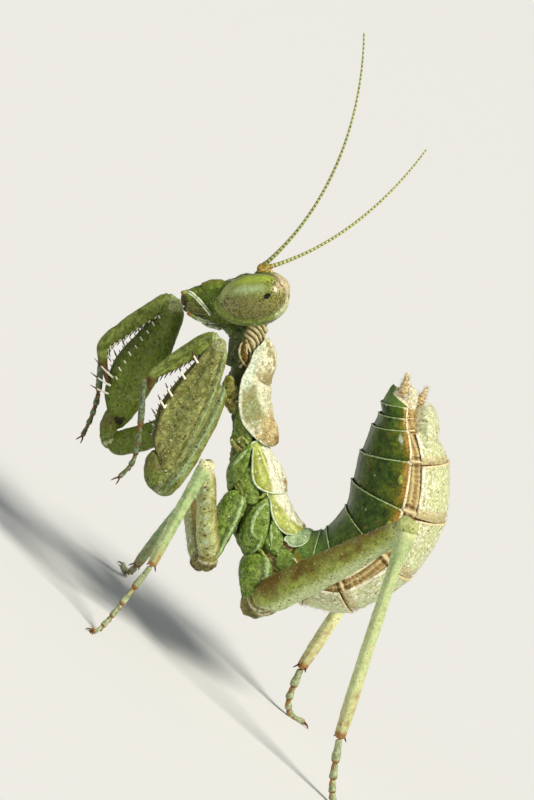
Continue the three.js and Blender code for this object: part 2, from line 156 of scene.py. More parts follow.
def tube(points, **marks):
    """A closed part from rings (rows x sides x 3), with a cap on each end. Marks are values
    per point that its material reads."""
    rows, sides = points.shape[:2]
    index = np.arange(rows * sides).reshape(rows, sides)
    turned = np.roll(index, -1, axis=1)
    walls = np.stack([index[:-1], turned[:-1], turned[1:], index[1:]], -1).reshape(-1, 4)
    ends = []
    for ring, tip, step in ((index[0], rows * sides, -1), (index[-1], rows * sides + 1, 1)):
        a, b = ring, np.roll(ring, -1)
        fan = np.stack([a, b, np.full(sides, tip), np.full(sides, tip)], -1)
        ends.append(fan if step > 0 else fan[:, [1, 0, 2, 3]])
    flat = {}
    for key, value in marks.items():
        value = np.broadcast_to(value, (rows, sides))
        flat[key] = np.r_[value.ravel(), value[0].mean(), value[-1].mean()]
    every = np.vstack([points.reshape(-1, 3), points[0].mean(0), points[-1].mean(0)])
    return facing_out({"points": every, "faces": np.vstack([walls, *ends]), "marks": flat})


def join(parts):
    """Several parts as one."""
    names = sorted({key for part in parts for key in part["marks"]})
    starts = np.cumsum([0] + [len(part["points"]) for part in parts])
    marks = {}
    for key in names:
        values = [p["marks"].get(key, np.zeros(len(p["points"]))) for p in parts]
        marks[key] = np.concatenate(values)
    return {
        "points": np.vstack([part["points"] for part in parts]),
        "faces": np.vstack([part["faces"] + start for part, start in zip(parts, starts)]),
        "marks": marks,
    }


def mirrored(part):
    """The same part on the animal's other side."""
    return {
        "points": part["points"] * [1, -1, 1],
        "faces": part["faces"][:, ::-1],
        "marks": part["marks"],
    }


def piece(name, parts, finish, nodes=None):
    """Makes one smooth object of the parts, which rides on the body, and hides the CAD nodes that it
    replaces: the listed ones, or else the one that NODE_shell is named after."""
    whole = join(parts)
    faces = [f[:3] if f[2] == f[3] else (f[1:] if f[0] == f[1] else f) for f in whole["faces"].tolist()]
    mesh = bpy.data.meshes.new(name)
    mesh.from_pydata(((whole["points"] + OVER_ORIGIN) * MM).tolist(), [], faces)
    mesh.shade_smooth()
    for key, values in whole["marks"].items():
        mark = mesh.attributes.new(key, "FLOAT", "POINT")
        mark.data.foreach_set("value", values.astype(np.float32))
    if "bake_u" in whole["marks"]:
        # A coat's map: each hair is a small patch at its root's place on the flattened skin.
        patches = np.c_[whole["marks"]["bake_u"], whole["marks"]["bake_v"]]
        corners = np.empty(len(mesh.loops), np.int32)
        mesh.loops.foreach_get("vertex_index", corners)
        sheet = mesh.uv_layers.new(name="OFBake")
        sheet.data.foreach_set("uv", patches[corners].astype(np.float32).ravel())
    mesh.materials.append(finish)
    made = bpy.data.objects.new(name, mesh)
    bpy.context.scene.collection.objects.link(made)
    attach(made, "root")
    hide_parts(*(nodes or [name.removesuffix("_shell")]))


def linear(code):
    """An sRGB colour written as #rrggbb, as the linear colour a shader takes."""
    parts = [int(code[i:i + 2], 16) / 255 for i in (1, 3, 5)]
    return [c / 12.92 if c < 0.04045 else ((c + 0.055) / 1.055) ** 2.4 for c in parts] + [1.0]


def add_node(tree, kind, inputs=None, **settings):
    """Adds a shader node with its settings. An input is a value or another node's output."""
    node = tree.nodes.new("ShaderNode" + kind)
    for key, value in settings.items():
        setattr(node, key, value)
    for socket, value in (inputs or {}).items():
        if isinstance(value, bpy.types.NodeSocket):
            tree.links.new(value, node.inputs[socket])
        else:
            node.inputs[socket].default_value = value
    return node


def lay(tree, under, share, over, how="MIX"):
    """Lays one colour over another where `share` is 1."""
    inputs = {0: share, 6: under, 7: over}
    return add_node(tree, "Mix", inputs, data_type="RGBA", blend_type=how).outputs[2]


def cuticle(name, ground, marks=(), specks=(), rough=0.4, relief=0.5, grain=0.06, glow=0.12,
            contrast=0.35, groove="#1c2606", coat=0.0, flow=None):
    """The shell's material.
    ground: dark tone, pale tone and the size in mm of the drift between them.
    marks: (mesh mark, colour, softness, wobble), laid in turn where the mark is above a half.
    specks: (spacing in mm, radius in mm, share of them that shows, colour), and the mesh mark
    that they keep to, if any. flow: two mesh marks that the specks run along in rows.
    The mesh mark `groove` paints shade, in the colour of the argument of that name, into grooves,
    creases and hollows and under other parts; on the hind trochanters it is random dark mottling."""
    material = bpy.data.materials.new(name)
    material.use_nodes = True
    tree = material.node_tree
    tree.nodes.clear()
    place = add_node(tree, "TexCoord").outputs["Object"]
    place = add_node(tree, "VectorMath", {0: place, "Scale": 1 / MM}, operation="SCALE").outputs[0]

    dark, pale, size = ground
    drift = {"Vector": place, "Scale": 1 / size, "Detail": 5.0, "Roughness": 0.62}
    drift = add_node(tree, "TexNoise", drift).outputs[0]
    share = add_node(tree, "MapRange", {0: drift, 1: 0.38, 2: 0.62}).outputs[0]
    colour = lay(tree, linear(dark), share, linear(pale))

    edge = add_node(tree, "TexNoise", {"Vector": place, "Scale": 5.0, "Detail": 3.0}).outputs[0]
    for mark, tone, soft, wobble in marks:
        value = add_node(tree, "Attribute", attribute_name=mark).outputs["Fac"]
        moved = {0: edge, 1: wobble, 2: -wobble / 2}
        moved = add_node(tree, "Math", moved, operation="MULTIPLY_ADD").outputs[0]
        value = add_node(tree, "Math", {0: value, 1: moved}, operation="ADD").outputs[0]
        share = {0: value, 1: 0.5 - soft, 2: 0.5 + soft}
        share = add_node(tree, "MapRange", share, interpolation_type="SMOOTHSTEP")
        colour = lay(tree, colour, share.outputs[0], linear(tone))

    # Small-scale light and dark, so that no patch of shell is one flat tone.
    fine = {"Vector": place, "Scale": 9.0, "Detail": 6.0, "Roughness": 0.75}
    fine = add_node(tree, "TexNoise", fine).outputs[0]
    shade = {0: fine, 1: 0.34, 2: 0.66, 3: 1 - 1.15 * contrast, 4: 1 + contrast}
    shade = add_node(tree, "MapRange", shade).outputs[0]
    colour = lay(tree, colour, 1.0, shade, "MULTIPLY")

    if flow:
        lines = [add_node(tree, "Attribute", attribute_name=m).outputs["Fac"] for m in flow]
        place = add_node(tree, "CombineXYZ", {0: lines[0], 1: lines[1]}).outputs[0]
    for spacing, radius, shown, tone, *only in specks:
        bent = add_node(tree, "TexNoise", {"Vector": place, "Scale": 1.5 / spacing})
        bent = {0: bent.outputs[1], 1: [spacing * (0.15 if flow else 0.5)] * 3, 2: place}
        bent = add_node(tree, "VectorMath", bent, operation="MULTIPLY_ADD").outputs[0]
        cells = add_node(tree, "TexVoronoi", {"Vector": bent, "Scale": 1 / spacing})
        spot = {0: cells.outputs["Distance"], 1: 1.25 * radius / spacing, 2: 0.6 * radius / spacing}
        spot = add_node(tree, "MapRange", spot).outputs[0]
        chance = add_node(tree, "SeparateColor", {0: cells.outputs["Color"]}).outputs[0]
        there = add_node(tree, "Math", {0: chance, 1: shown}, operation="LESS_THAN").outputs[0]
        spot = add_node(tree, "Math", {0: spot, 1: there}, operation="MULTIPLY").outputs[0]
        if only:
            kept = add_node(tree, "Attribute", attribute_name=only[0]).outputs["Fac"]
            spot = add_node(tree, "Math", {0: spot, 1: kept}, operation="MULTIPLY").outputs[0]
        colour = lay(tree, colour, spot, linear(tone))

    shade_and_mottle_share = add_node(tree, "Attribute", attribute_name="groove").outputs["Fac"]
    colour = lay(tree, colour, shade_and_mottle_share, linear(groove))

    bumps = {"Vector": place, "Scale": 1 / grain, "Detail": 3.0, "Roughness": 0.6}
    bumps = add_node(tree, "TexNoise", bumps).outputs[0]
    normal = {"Strength": relief, "Distance": grain * 0.35 * MM, "Height": bumps}
    normal = add_node(tree, "Bump", normal).outputs[0]
    wear = {0: fine, 1: 0.3, 2: 0.7, 3: rough - 0.1, 4: rough + 0.12}
    wear = add_node(tree, "MapRange", wear).outputs[0]
    shader = add_node(tree, "BsdfPrincipled", {
        "Base Color": colour, "Roughness": wear, "Normal": normal,
        "Subsurface Weight": glow, "Subsurface Radius": [1.0, 1.0, 0.5],
        "Subsurface Scale": 0.15 * MM, "Coat Weight": coat, "Coat Roughness": 0.12,
        "Specular IOR Level": 0.24,
    })
    add_node(tree, "OutputMaterial", {"Surface": shader.outputs[0]}, is_active_output=True)
    return material


# Soft dull skin: tan on the abdomen's flanks, with brown painted shade in the troughs of its
# lengthwise pleats and in the dips beside each bar, and green on the thorax.
soft_skin = cuticle("soft_skin_between_plates", ("#8f7440", "#bda468", 0.16),
    marks=[("thorax", "#66742c", 0.35, 0.6), ("fold", "#dccf98", 0.5, 0.6),
        ("crease", "#6b4c22", 0.5, 0.6), ("link", "#e8d6a4", 0.4, 0.5)],
    specks=[(0.22, 0.045, 0.4, "#7a5a2a"), (0.3, 0.04, 0.3, "#f6efd2")], rough=0.5, relief=0.8,
    contrast=0.3)

place, angle = np.meshgrid(np.linspace(0, LAST_RING, 701), np.arange(0, 360, 3.0), indexing="ij")
side = np.where(angle > 180, angle - 360, angle)
thorax = 1 - ramp(place, 6.6, 7.3)
flank = ramp(abs(side), 92, 100) * (1 - ramp(abs(side), 118, 126)) * (1 - thorax)
pleat = 0.5 + 0.5 * np.cos(np.radians(abs(side) - 96) * 40)
# Fine ribs run across the flank's long folds.
rib = np.cos(2 * np.pi * place * 11 + 5 * noise(on_trunk(place, side), 0.4, 3)) * flank
cross = 0.5 + 0.5 * np.cos(2 * np.pi * place * 3 + 3.0 * noise(on_trunk(place, side), 0.6, 1))
depth = -0.08 + 0.04 * flank + 0.02 * flank * pleat + 0.014 * rib - 0.025 * thorax * cross
depth = depth + 0.03 * thorax * noise(on_trunk(place, side), 0.35, 2)
# A raised bar crosses the flank at each joint and links the back plate with the belly plate.
from_joint = place - np.round(place)
bar = bell(from_joint, -0.02, 0.035) * (1 - thorax)
beside = bell(abs(from_joint + 0.02), 0.09, 0.03) * (1 - thorax)
depth = depth + 0.06 * bar * flank - 0.03 * beside
skin = tube(on_trunk(place, side, depth), thorax=thorax, fold=flank * pleat * 0.65 + 0.05 * rib,
    # The crease mark is brown painted shade in the pleats' troughs and in the dips beside the bars.
    crease=flank * (1 - pleat) * 0.5 - 0.12 * rib + 0.6 * beside, link=bar,
    # The groove mark darkens the thorax skin in bands and paints shadow over its front, under the neck
    # shield.
    groove=thorax * (0.05 + 0.3 * (1 - cross) + 0.4 * ramp(place, 2.4, 1.7)))
piece("body_skin", [skin], soft_skin, ["prothorax", "mesothorax", "metathorax"])

# ------ abdomen
# Ten back plates and the belly plates, each a thin curved shell that laps over the one behind.
# Dark green and glossy above with a pale hind line and a cream edge, pale below with specks.


def plate(sheet, thick, **marks):
    """A thin plate over a grid of points, rounded off at its edges."""
    rows, cols = sheet.shape[:2]
    along = np.gradient(sheet, axis=0)
    across = np.gradient(sheet, axis=1)
    normal = unit(np.cross(along, across))
    r = np.linspace(0, 1, rows)[:, None]
    c = np.linspace(0, 1, cols)[None]
    rim = np.minimum(np.minimum(r, 1 - r) * rows / 2.5, np.minimum(c, 1 - c) * cols / 2.5)
    half = thick / 2 * np.sqrt(1 - (1 - np.clip(rim, 0, 1)) ** 2)
    outer = sheet + normal * half[..., None]
    inner = sheet - normal * half[..., None]
    ring = np.concatenate([outer, inner[:, ::-1]], axis=1)
    doubled = {}
    for key, value in marks.items():
        value = np.broadcast_to(value, (rows, cols))
        doubled[key] = np.concatenate([value, value[:, ::-1]], axis=1)
    made = tube(ring, **doubled)
    walls = (rows - 1) * 2 * cols
    index = np.arange(rows * 2 * cols).reshape(rows, 2 * cols)
    ends = []
    for row, step in ((index[0], -1), (index[-1], 1)):
        out, back = row[:cols], row[cols:][::-1]
        strip = np.stack([out[:-1], out[1:], back[1:], back[:-1]], -1)
        ends.append(strip if step > 0 else strip[:, ::-1])
    made = {"points": made["points"][:-2], "faces": np.vstack([made["faces"][:walls], *ends]),
            "marks": {key: value[:-2] for key, value in made["marks"].items()}}
    return facing_out(made)


# Hard waxed cuticle: dark green, with a broad soft gloss; its blue-white patch mark is a painted highlight.
back_shell = cuticle("glossy_green_back_plate", ("#1c3306", "#42600f", 0.3),
    marks=[("young", "#5f7f3c", 0.5, 0.8), ("olive", "#75741c", 0.6, 1.0),
        ("patch", "#c3d3bd", 0.35, 0.5), ("amber", "#ab8136", 0.5, 1.0), ("bump", "#9ea546", 0.3, 0.3),
        ("hind", "#a4ba80", 0.3, 0.5), ("rim", "#f4ecc4", 0.35, 0.4)],
    specks=[(0.13, 0.03, 0.5, "#18290a"), (0.45, 0.03, 0.3, "#eef5e0"), (0.25, 0.03, 0.35, "#8a7420")],
    rough=0.36, relief=0.7, contrast=0.4, glow=0.08)

# How far round from the back the back plates reach, by place along the trunk.
SIDE_EDGE = [(7, 56), (8, 70), (8.7, 88), (9.5, 95), (11, 99), (13, 102), (14, 110), (15, 108),
             (16, 112), (17, 112)]

LAST_POINT = np.array([0.77, 0.0, 14.25])
for number in range(2, 11):
    first = FIRST_TERGITE + number - 1
    row = np.sin(np.linspace(0, 1, 30) * np.pi / 2)[:, None]
    column = crowded(111)
    place = first - 0.14 + row * 1.12 + 0 * column
    edge = smooth_rows(place, SIDE_EDGE)[..., 0] - 3 * (row > 0.97)
    angle = column * edge
    flare = 0.05 if number < 5 else 0.09
    lift = flare * row ** 2 - 0.04 * ramp(row, 0.2, 0.0) + 0.02 * bell(row, 0.985, 0.02)
    lift = lift + 0.03 * bell(abs(column), 0.985, 0.02) * ramp(row, 0.1, 0.3)
    rough_skin = on_trunk(place, angle)
    lift = lift + 0.015 * noise(rough_skin, 0.35, number) + 0.008 * noise(rough_skin, 0.12, number)
    # A shallow hollow along each side and a low keel down the middle of the back.
    lift = lift - 0.03 * bell(abs(column), 0.8, 0.06)
    lift = lift + 0.05 * bell(column, 0, 0.05) * (number < 9)
    # A breathing hole shows as a low yellow-green bump near each side edge.
    hole = bell(abs(column), 0.89, 0.03) * bell(row, 0.62, 0.13)
    hole = hole * (3 < number < 7)
    lift = lift + 0.07 * hole
    young = np.full_like(lift, 1.0 - (number - 2) / 3.6 + 1.0 * (number > 7))
    hind = bell(row, 0.99, 0.015) * 0.8
    olive = ramp(abs(column), 0.68, 0.92) * 0.65 + 0.35 * noise(rough_skin, 0.5, 30 + number)
    amber = ramp(abs(column), 0.86, 0.96) * ramp(row, 0.0, 0.5) * (0.9 - 0.8 * hole)
    cream = ramp(abs(column), 0.965, 0.985)
    # A soft blue-white streak near the side edge of the seventh plate, painted on as a highlight.
    patch = bell(abs(column), 0.86, 0.04) * bell(row, 0.65, 0.28) * (number == 7)
    patch = patch * (0.75 + 0.4 * noise(rough_skin, 0.15, 29))
    if number > 7:
        cream = np.maximum(cream, ramp(abs(column), 0.8, 0.95) * ramp(row, 0.75, 0.97) * 0.8)
    sheet = on_trunk(place, angle, lift)
    if number == 10:
        # The last plate runs out to a point over the tail, with a broad cream border.
        aside = np.sign(on_trunk(first + 0 * place, np.sign(column) * 60.0)[..., 1])
        corner = np.stack([1.74 + 0 * place, 0.86 * aside, 13.99 + 0 * place], -1)
        end = LAST_POINT + (corner - LAST_POINT) * abs(column)[..., None] ** 0.8
        start = on_trunk(first - 0.14 + 0 * place, column * 108, 0.0)
        sheet = start + (end - start) * row[..., None]
        bulge = 0.04 * np.sin(np.pi * row) * np.cos(column * 1.2) + 0.03 * noise(sheet, 0.2, 44)
        sheet = sheet + unit(sheet - on_trunk(first + 0.2, 0, -0.8)) * bulge[..., None]
        cream = ramp(row, 0.64, 0.78) * ramp(abs(column), 0.06, 0.3)
        young, olive, amber = young + 2.1 + 0.6 * noise(sheet, 0.25, 45), olive * 0.6, amber * 0.0
    made = plate(sheet, 0.06, young=young, hind=hind, amber=amber, rim=cream * 0.9, patch=patch,
        olive=olive, bump=hole,
        # Painted shade along the front of each plate, under the one before, and in a ring round the
        # breathing-hole bump.
        groove=0.6 * (1 - ramp(row, 0.1, 0.2)) + 0.5 * (hole > 0.3) * (hole < 0.55))
    piece(f"tergite_{number}", [made], back_shell, [f"abdomen_{number}"])

# Thin pale cuticle: pitted and grainy, and light sinks in a little.
belly_shell = cuticle("pale_belly_plate", ("#b3b97c", "#f0f1d2", 0.16),
    marks=[("middle", "#cdd8a2", 0.6, 1.2), ("hind", "#ead9a6", 0.4, 0.6), ("rim", "#faf7dc", 0.4, 0.6),
        ("band", "#c2b584", 0.6, 1.2), ("fold", "#e6dcae", 0.35, 0.4)],
    specks=[(0.1, 0.028, 0.55, "#9c9658"), (0.2, 0.045, 0.45, "#7d5a2c"), (0.24, 0.05, 0.5, "#fdfef4"),
        (0.6, 0.06, 0.3, "#8aa05a")], rough=0.45, relief=1.0, contrast=0.42, glow=0.15, groove="#7c6c3a")

# The belly plates cover what the back plates and the soft flanks leave.
BELLY_EDGE = [(8, 100), (9, 108), (10, 112), (12, 116), (13.2, 117), (14, 124), (15, 135)]
for number in range(2, 8):
    first = FIRST_TERGITE + number - 1
    row = np.sin(np.linspace(0, 1, 30) * np.pi / 2)[:, None]
    column = crowded(91)
    place = first - 0.08 + row * 1.02 - 0.06 * row * column ** 2
    angle = 180 + column * (180 - smooth_rows(place, BELLY_EDGE)[..., 0])
    lift = 0.08 * row ** 2 - 0.02 + 0.02 * bell(row, 0.98, 0.02)
    # Two low folds cross the front of each plate, where it slides under the last.
    folds = bell(row, 0.1, 0.03) + bell(row, 0.22, 0.03)
    lift = lift + 0.04 * folds + 0.04 * bell(abs(column), 0.97, 0.02)
    lift = lift + 0.02 * noise(on_trunk(place, angle), 0.4, 20 + number)
    # Small knobs stand along the hind edge.
    lift = lift + 0.03 * np.maximum(0, np.sin(angle * 0.9)) * ramp(row, 0.94, 0.98)
    made = plate(on_trunk(place, angle, lift), 0.07, middle=0.8 * bell(abs(column), 0.5, 0.2),
        hind=ramp(row, 0.955, 0.985), rim=ramp(abs(column), 0.93, 0.97),
        band=0.85 * ramp(row, 0.17, 0.14), fold=0.8 * bell(row, 0.16, 0.018),
        # Painted shade in the hollow between the two folds and along the front edge, under the plate
        # before.
        groove=0.3 * bell(row, 0.16, 0.02) + 0.3 * (row < 0.05))
    piece(f"sternite_{number}", [made], belly_shell, [f"abdomen_{number}"])


def follow(points, shares):
    """Points at shares of the length of a smooth curve through `points`."""
    points = np.asarray(points, float)
    if len(points) == 2:
        points = np.array([points[0], points.mean(0), points[1]])
    steps = np.linalg.norm(np.diff(points, axis=0), axis=1) ** 0.5
    knots = np.r_[0, np.cumsum(steps)]
    fine = smooth_rows(np.linspace(0, knots[-1], 500), np.c_[knots, points])
    gone = np.r_[0, np.cumsum(np.linalg.norm(np.diff(fine, axis=0), axis=1))]
    at = np.asarray(shares) * gone[-1]
    return np.stack([np.interp(at, gone, fine[:, k]) for k in range(3)], -1)


class Limb:
    """A rounded limb along a curve. Its sizes are rows of [share of its length, half width,
    reach to its back, reach to its belly], where a value that repeats the one before it is left
    out; `back` is roughly the direction its back faces."""

    def __init__(self, path, sizes, back, ends=0.04):
        self.path, self.ends = path, np.broadcast_to(ends, 2)
        self.sizes = [(*row, *[row[-1]] * (4 - len(row))) for row in sizes]
        self.back = np.asarray(back, float)
        self.length = np.sum(np.linalg.norm(np.diff(follow(path, np.linspace(0, 1, 60)), axis=0), axis=1))

    def at(self, share, angle, lift=0.0):
        """The surface at a share of the length and degrees round from the back, then its normal."""
        share, angle = np.broadcast_arrays(np.asarray(share, float), np.radians(angle))
        centre = follow(self.path, share)
        ahead = follow(self.path, np.clip(share + 0.01, 0, 1))
        behind = follow(self.path, np.clip(share - 0.01, 0, 1))
        axis = unit(ahead - behind)
        side = unit(np.cross(axis, self.back))
        top = np.cross(side, axis)
        wide, high, low = np.moveaxis(np.maximum(smooth_rows(share, self.sizes), 0.004), -1, 0)
        start = np.clip(share / max(self.ends[0], 1e-6), 0, 1)
        finish = np.clip((1 - share) / max(self.ends[1], 1e-6), 0, 1)
        cap = np.sqrt(np.clip(1 - (1 - start) ** 2, 0, 1) * np.clip(1 - (1 - finish) ** 2, 0, 1))
        cap = np.maximum(cap, 0.02)
        reach = np.where(np.cos(angle) > 0, high, low)
        across, up = np.sin(angle), np.cos(angle)
        point = centre + side * (wide * across * cap)[..., None] + top * (reach * up * cap)[..., None]
        normal = unit(side * (across / wide)[..., None] + top * (up / reach)[..., None])
        return point + normal * np.asarray(lift * cap, float)[..., None], normal

    def grid(self, rows, sides):
        """Shares and angles of a mesh that is finest at the rounded ends."""
        t = np.linspace(0, 1, rows)
        t = t - 0.85 * np.sin(2 * np.pi * t) / (2 * np.pi)
        return np.meshgrid(t, np.arange(sides) * 360 / sides, indexing="ij")

    def part(self, rows=60, sides=28, lift=None, **marks):
        """The limb's mesh. lift and marks are values or functions of (share, angle, points)."""
        share, angle = self.grid(rows, sides)
        points, _ = self.at(share, angle)
        side = np.where(angle > 180, angle - 360, angle)
        read = lambda value: value(share, side, points) if callable(value) else value
        if lift is not None:
            points, _ = self.at(share, angle, read(lift))
        marks.setdefault("share", share)
        return tube(points, **{key: read(value) + 0 * share for key, value in marks.items()})


# The last belly plate is a deep scoop that closes the abdomen from below.
scoop = Limb([[3.25, 0, 12.75], [3.2, 0, 13.25], [2.9, 0, 13.75], [2.42, 0, 14.2], [2.2, 0, 14.38]],
    [(0, 1.3, 0.66, 0.26), (0.3, 1.32, 0.94, 0.36), (0.65, 1.1, 0.9, 0.34), (0.9, 0.7, 0.5, 0.26),
        (1, 0.42, 0.18, 0.14)], [-1, 0, -0.6], ends=(0.15, 0.12))
lumps = lambda share, side, points: 0.035 * noise(points, 0.35, 31) + 0.02 * noise(points, 0.12, 33)
piece("subgenital_plate_shell",
    [scoop.part(90, 80, lumps, middle=lambda s, a, p: 0.25 + 0.6 * noise(p, 0.4, 32),
        rim=lambda s, a, p: 0.8 * ramp(s, 0.9, 0.97),
        fold=lambda s, a, p: 0.8 * ramp(abs(a), 80, 60))], belly_shell)

# ------ tail feelers
# Two short ringed cones at the tip of the abdomen, brown and white in bands, with the pale
# soft lobes that they grow from. Each ring is a bead a little wider at its far end.

# Dry ringed cuticle, banded brown and white, and nearly matt.
tail_feeler_shell = cuticle(
    "banded_tail_feeler", ("#a07a34", "#dcc88a", 0.12),
    marks=[("band", "#f4e6c4", 0.6, 0.9), ("joint", "#82501e", 0.5, 0.8), ("tip", "#e0c084", 0.5, 0.6)],
    specks=[(0.07, 0.02, 0.5, "#8a5a22"), (0.08, 0.02, 0.5, "#fff8e6")], rough=0.5, relief=1.0, glow=0.2)
# Skin that never hardens: chalky, crumpled and matt.
soft_lobe = cuticle("pale_tail_lobe", ("#c9c48c", "#f7f7e6", 0.1), marks=[("under", "#a08048", 0.6, 1.2)],
    specks=[(0.09, 0.025, 0.5, "#b58a4a"), (0.1, 0.03, 0.5, "#ffffff")], rough=0.5, relief=1.0, glow=0.2)


HAIR_RADIUS = 0.007
HAIR_PATCH = 0.003  # how wide a hair's patch is on its map


def bristles(roots, ways, lengths, radius, droop=0.3, seed=0, unwrap=None):
    """Many fine spines at once, each a thin cone that curves over a little. `unwrap` gives
    each root's place on the flattened skin, which becomes the small patch of its map."""
    roots, ways = np.asarray(roots, float), unit(np.asarray(ways, float))
    count = len(roots)
    lengths, radius = np.broadcast_to(lengths, count), np.broadcast_to(radius, count)
    chance = np.random.default_rng(seed)
    lean = unit(np.cross(ways, unit(chance.normal(size=(count, 3)))))
    other = np.cross(ways, lean)
    turns = np.arange(5) * 2 * np.pi / 5
    points, shares = [], []
    for share, size in ((-0.12, 1.0), (0.35, 0.75), (0.7, 0.42), (1.0, 0.08)):
        middle = roots + ways * (lengths * share)[:, None] + lean * (droop * lengths * share ** 2)[:, None]
        for turn in turns:
            spoke = lean * math.cos(turn) + other * math.sin(turn)
            points.append(middle + spoke * (radius * size)[:, None])
            shares.append(np.full(count, max(share, 0.0)))
    points = np.stack(points, 1)
    index = np.arange(20).reshape(4, 5)
    turned = np.roll(index, -1, axis=1)
    walls = np.stack([index[:-1], turned[:-1], turned[1:], index[1:]], -1).reshape(-1, 4)
    tips = np.array([[15, 16, 17, 17], [15, 17, 18, 18], [15, 18, 19, 19]])
    faces = np.vstack([walls, tips])
    faces = (faces[None] + 20 * np.arange(count)[:, None, None]).reshape(-1, 4)
    marks = {"share": np.stack(shares, 1).ravel()}
    if unwrap is not None:
        spread = HAIR_PATCH / 2 * np.stack([np.tile(np.cos(turns), 4), np.tile(np.sin(turns), 4)], -1)
        patch = np.asarray(unwrap, float)[:, None] + spread[None]
        marks["bake_u"], marks["bake_v"] = patch[..., 0].ravel(), patch[..., 1].ravel()
    return facing_out({"points": points.reshape(-1, 3), "faces": faces, "marks": marks})


def coat(limb, count, length, seed, tile=(0, 1), span=(0.04, 0.97), lift=0.0, lean=0.7):
    """Short hairs scattered over a limb, which lean towards its far end. Their roots take
    strip `tile[0]` of `tile[1]` on the flattened skin."""
    chance = np.random.default_rng(seed)
    share, angle = chance.uniform(*span, count), chance.uniform(-180, 180, count)
    roots, ways = limb.at(share, angle, lift)
    ahead = unit(limb.at(np.clip(share + 0.03, 0, 1), angle, lift)[0] - roots)
    unwrap = np.c_[(tile[0] + 0.02 + 0.96 * share) / tile[1], 0.01 + 0.98 * (angle / 360 + 0.5)]
    return bristles(roots, ways + ahead * lean, length * chance.uniform(0.6, 1.3, count), HAIR_RADIUS,
        0.3, seed, unwrap)


# Clear hairs, which look white against the shell.
pale_hair = cuticle("pale_hair", ("#d3d8be", "#eef0e2", 0.1), rough=0.5, relief=0.0, contrast=0.05,
    glow=0.3)
TAIL_RINGS = 7
tail_hairs = []
for name, side, path, radius in (
    ("left", -1, [[1.5, -0.36, 13.98], [1.19, -0.4, 14.48], [0.93, -0.5, 15.02]], 0.25),
    ("right", 1, [[2.05, 0.45, 14.0], [2.0, 0.52, 14.5], [1.92, 0.6, 14.92]], 0.2),
):
    cone = Limb(path, [(0, radius), (0.3, radius * 0.95), (0.7, radius * 0.5), (1, 0.03)], [0, 0, 1],
        ends=(0.08, 0.02))
    bead = lambda share: (share * TAIL_RINGS) % 1
    swell = lambda share, angle, points: radius * 0.05 * (np.sin(np.pi * bead(share)) - 0.5)
    piece("cercus_" + name + "_shell",
        [cone.part(110, 40, lambda s, a, p: swell(s, a, p) + 0.02 * noise(p, 0.1, 43),
            band=lambda s, a, p: 0.55 * ramp(bead(s), 0.2, 0.8),
            joint=lambda s, a, p: ramp(bead(s), 0.2, 0.06) * 0.6,
            tip=lambda s, a, p: 0.7 * ramp(s, 0.7, 0.95))], tail_feeler_shell)
    lobe = Limb([[1.8, side * 0.3, 13.5], [1.68, side * 0.42, 14.0], [1.4, side * 0.46, 14.62]],
        [(0, 0.5, 0.4, 0.34), (0.45, 0.36, 0.3, 0.26), (0.8, 0.24, 0.2), (1, 0.12, 0.1)], [0, side, 0],
        ends=(0.2, 0.3))
    crumple = lambda s, a, p: 0.05 * noise(p, 0.16, 41) + 0.03 * noise(p, 0.07, 42)
    piece("tail_lobe_" + name,
          [lobe.part(70, 48, crumple, under=lambda s, a, p: 0.8 * ramp(s, 0.45, 0.2))], soft_lobe,
          ["subgenital_plate"])
    first = 0 if side < 0 else 2
    tail_hairs.append(coat(cone, 150, 0.16, 200 + first, (first, 5), (0.05, 0.95)))
    tail_hairs.append(coat(lobe, 130, 0.11, 201 + first, (first + 1, 5), (0.2, 0.95)))
tail_hairs.append(coat(scoop, 420, 0.06, 210, (4, 5), (0.05, 0.99)))
piece("tail_hairs", tail_hairs, pale_hair, ["cercus_left"])

# ------ flanks of the thorax
# Domed green plates down each side of the thorax, parted by grooves darkened with painted shade,
# with low ridges over some of them, painted pale as a highlight. Between them lie soft yellow-green folds.

OVERLAP = 1.07  # each plate is drawn this much larger than its outline, so that no gap shows


def closed_curve(outline, sides):
    """A smooth closed curve through (place, angle) points, and its middle."""
    outline = np.asarray(outline, float)
    closed = np.vstack([outline[-2:], outline, outline[:2]])
    turn = np.arange(sides) / sides * len(outline)
    edge = smooth_rows(turn, np.c_[np.arange(len(closed)) - 2.0, closed])
    return edge, edge.mean(0)


def dome(outline, height, rows=26, sides=96, seed=0, sunk=0.12, swell=2.2):
    """A domed plate on the trunk inside a smooth closed outline of (place, angle) points."""
    edge, middle = closed_curve(outline, sides)
    edge = middle + (edge - middle) * OVERLAP
    grow = np.r_[1.0, np.linspace(1, 0.03, rows) ** 0.8][:, None]
    spot = middle + (edge[None] - middle) * grow[..., None]
    lift = 0.88 * height * (1 - grow ** (swell + 0.6)) ** 0.5
    lift[0] = -sunk
    place, angle = spot[..., 0], spot[..., 1]
    points = on_trunk(place, angle, lift)
    lumps = 0.07 * noise(points, 0.55, seed + 7) + 0.03 * noise(points, 0.2, seed)
    points = on_trunk(place, angle, lift + lumps * (1 - grow ** 4))
    base = on_trunk(middle[0], middle[1], -sunk - 0.1)
    ring = np.concatenate([points, points[-1:]])
    ring[-1] = points[-1].mean(0)
    made = tube(ring[::-1], inward=np.r_[1 - grow, [[1.0]]][::-1],
        rim=np.r_[ramp(grow, 0.86, 0.96), [[0.0]]][::-1],
        # Painted shade along the plate's very edge, where it meets the skin.
        groove=np.r_[ramp(grow, 0.97, 1.0), [[0.0]]][::-1] * 0.9)
    made["points"][-1] = base
    return facing_out(made)


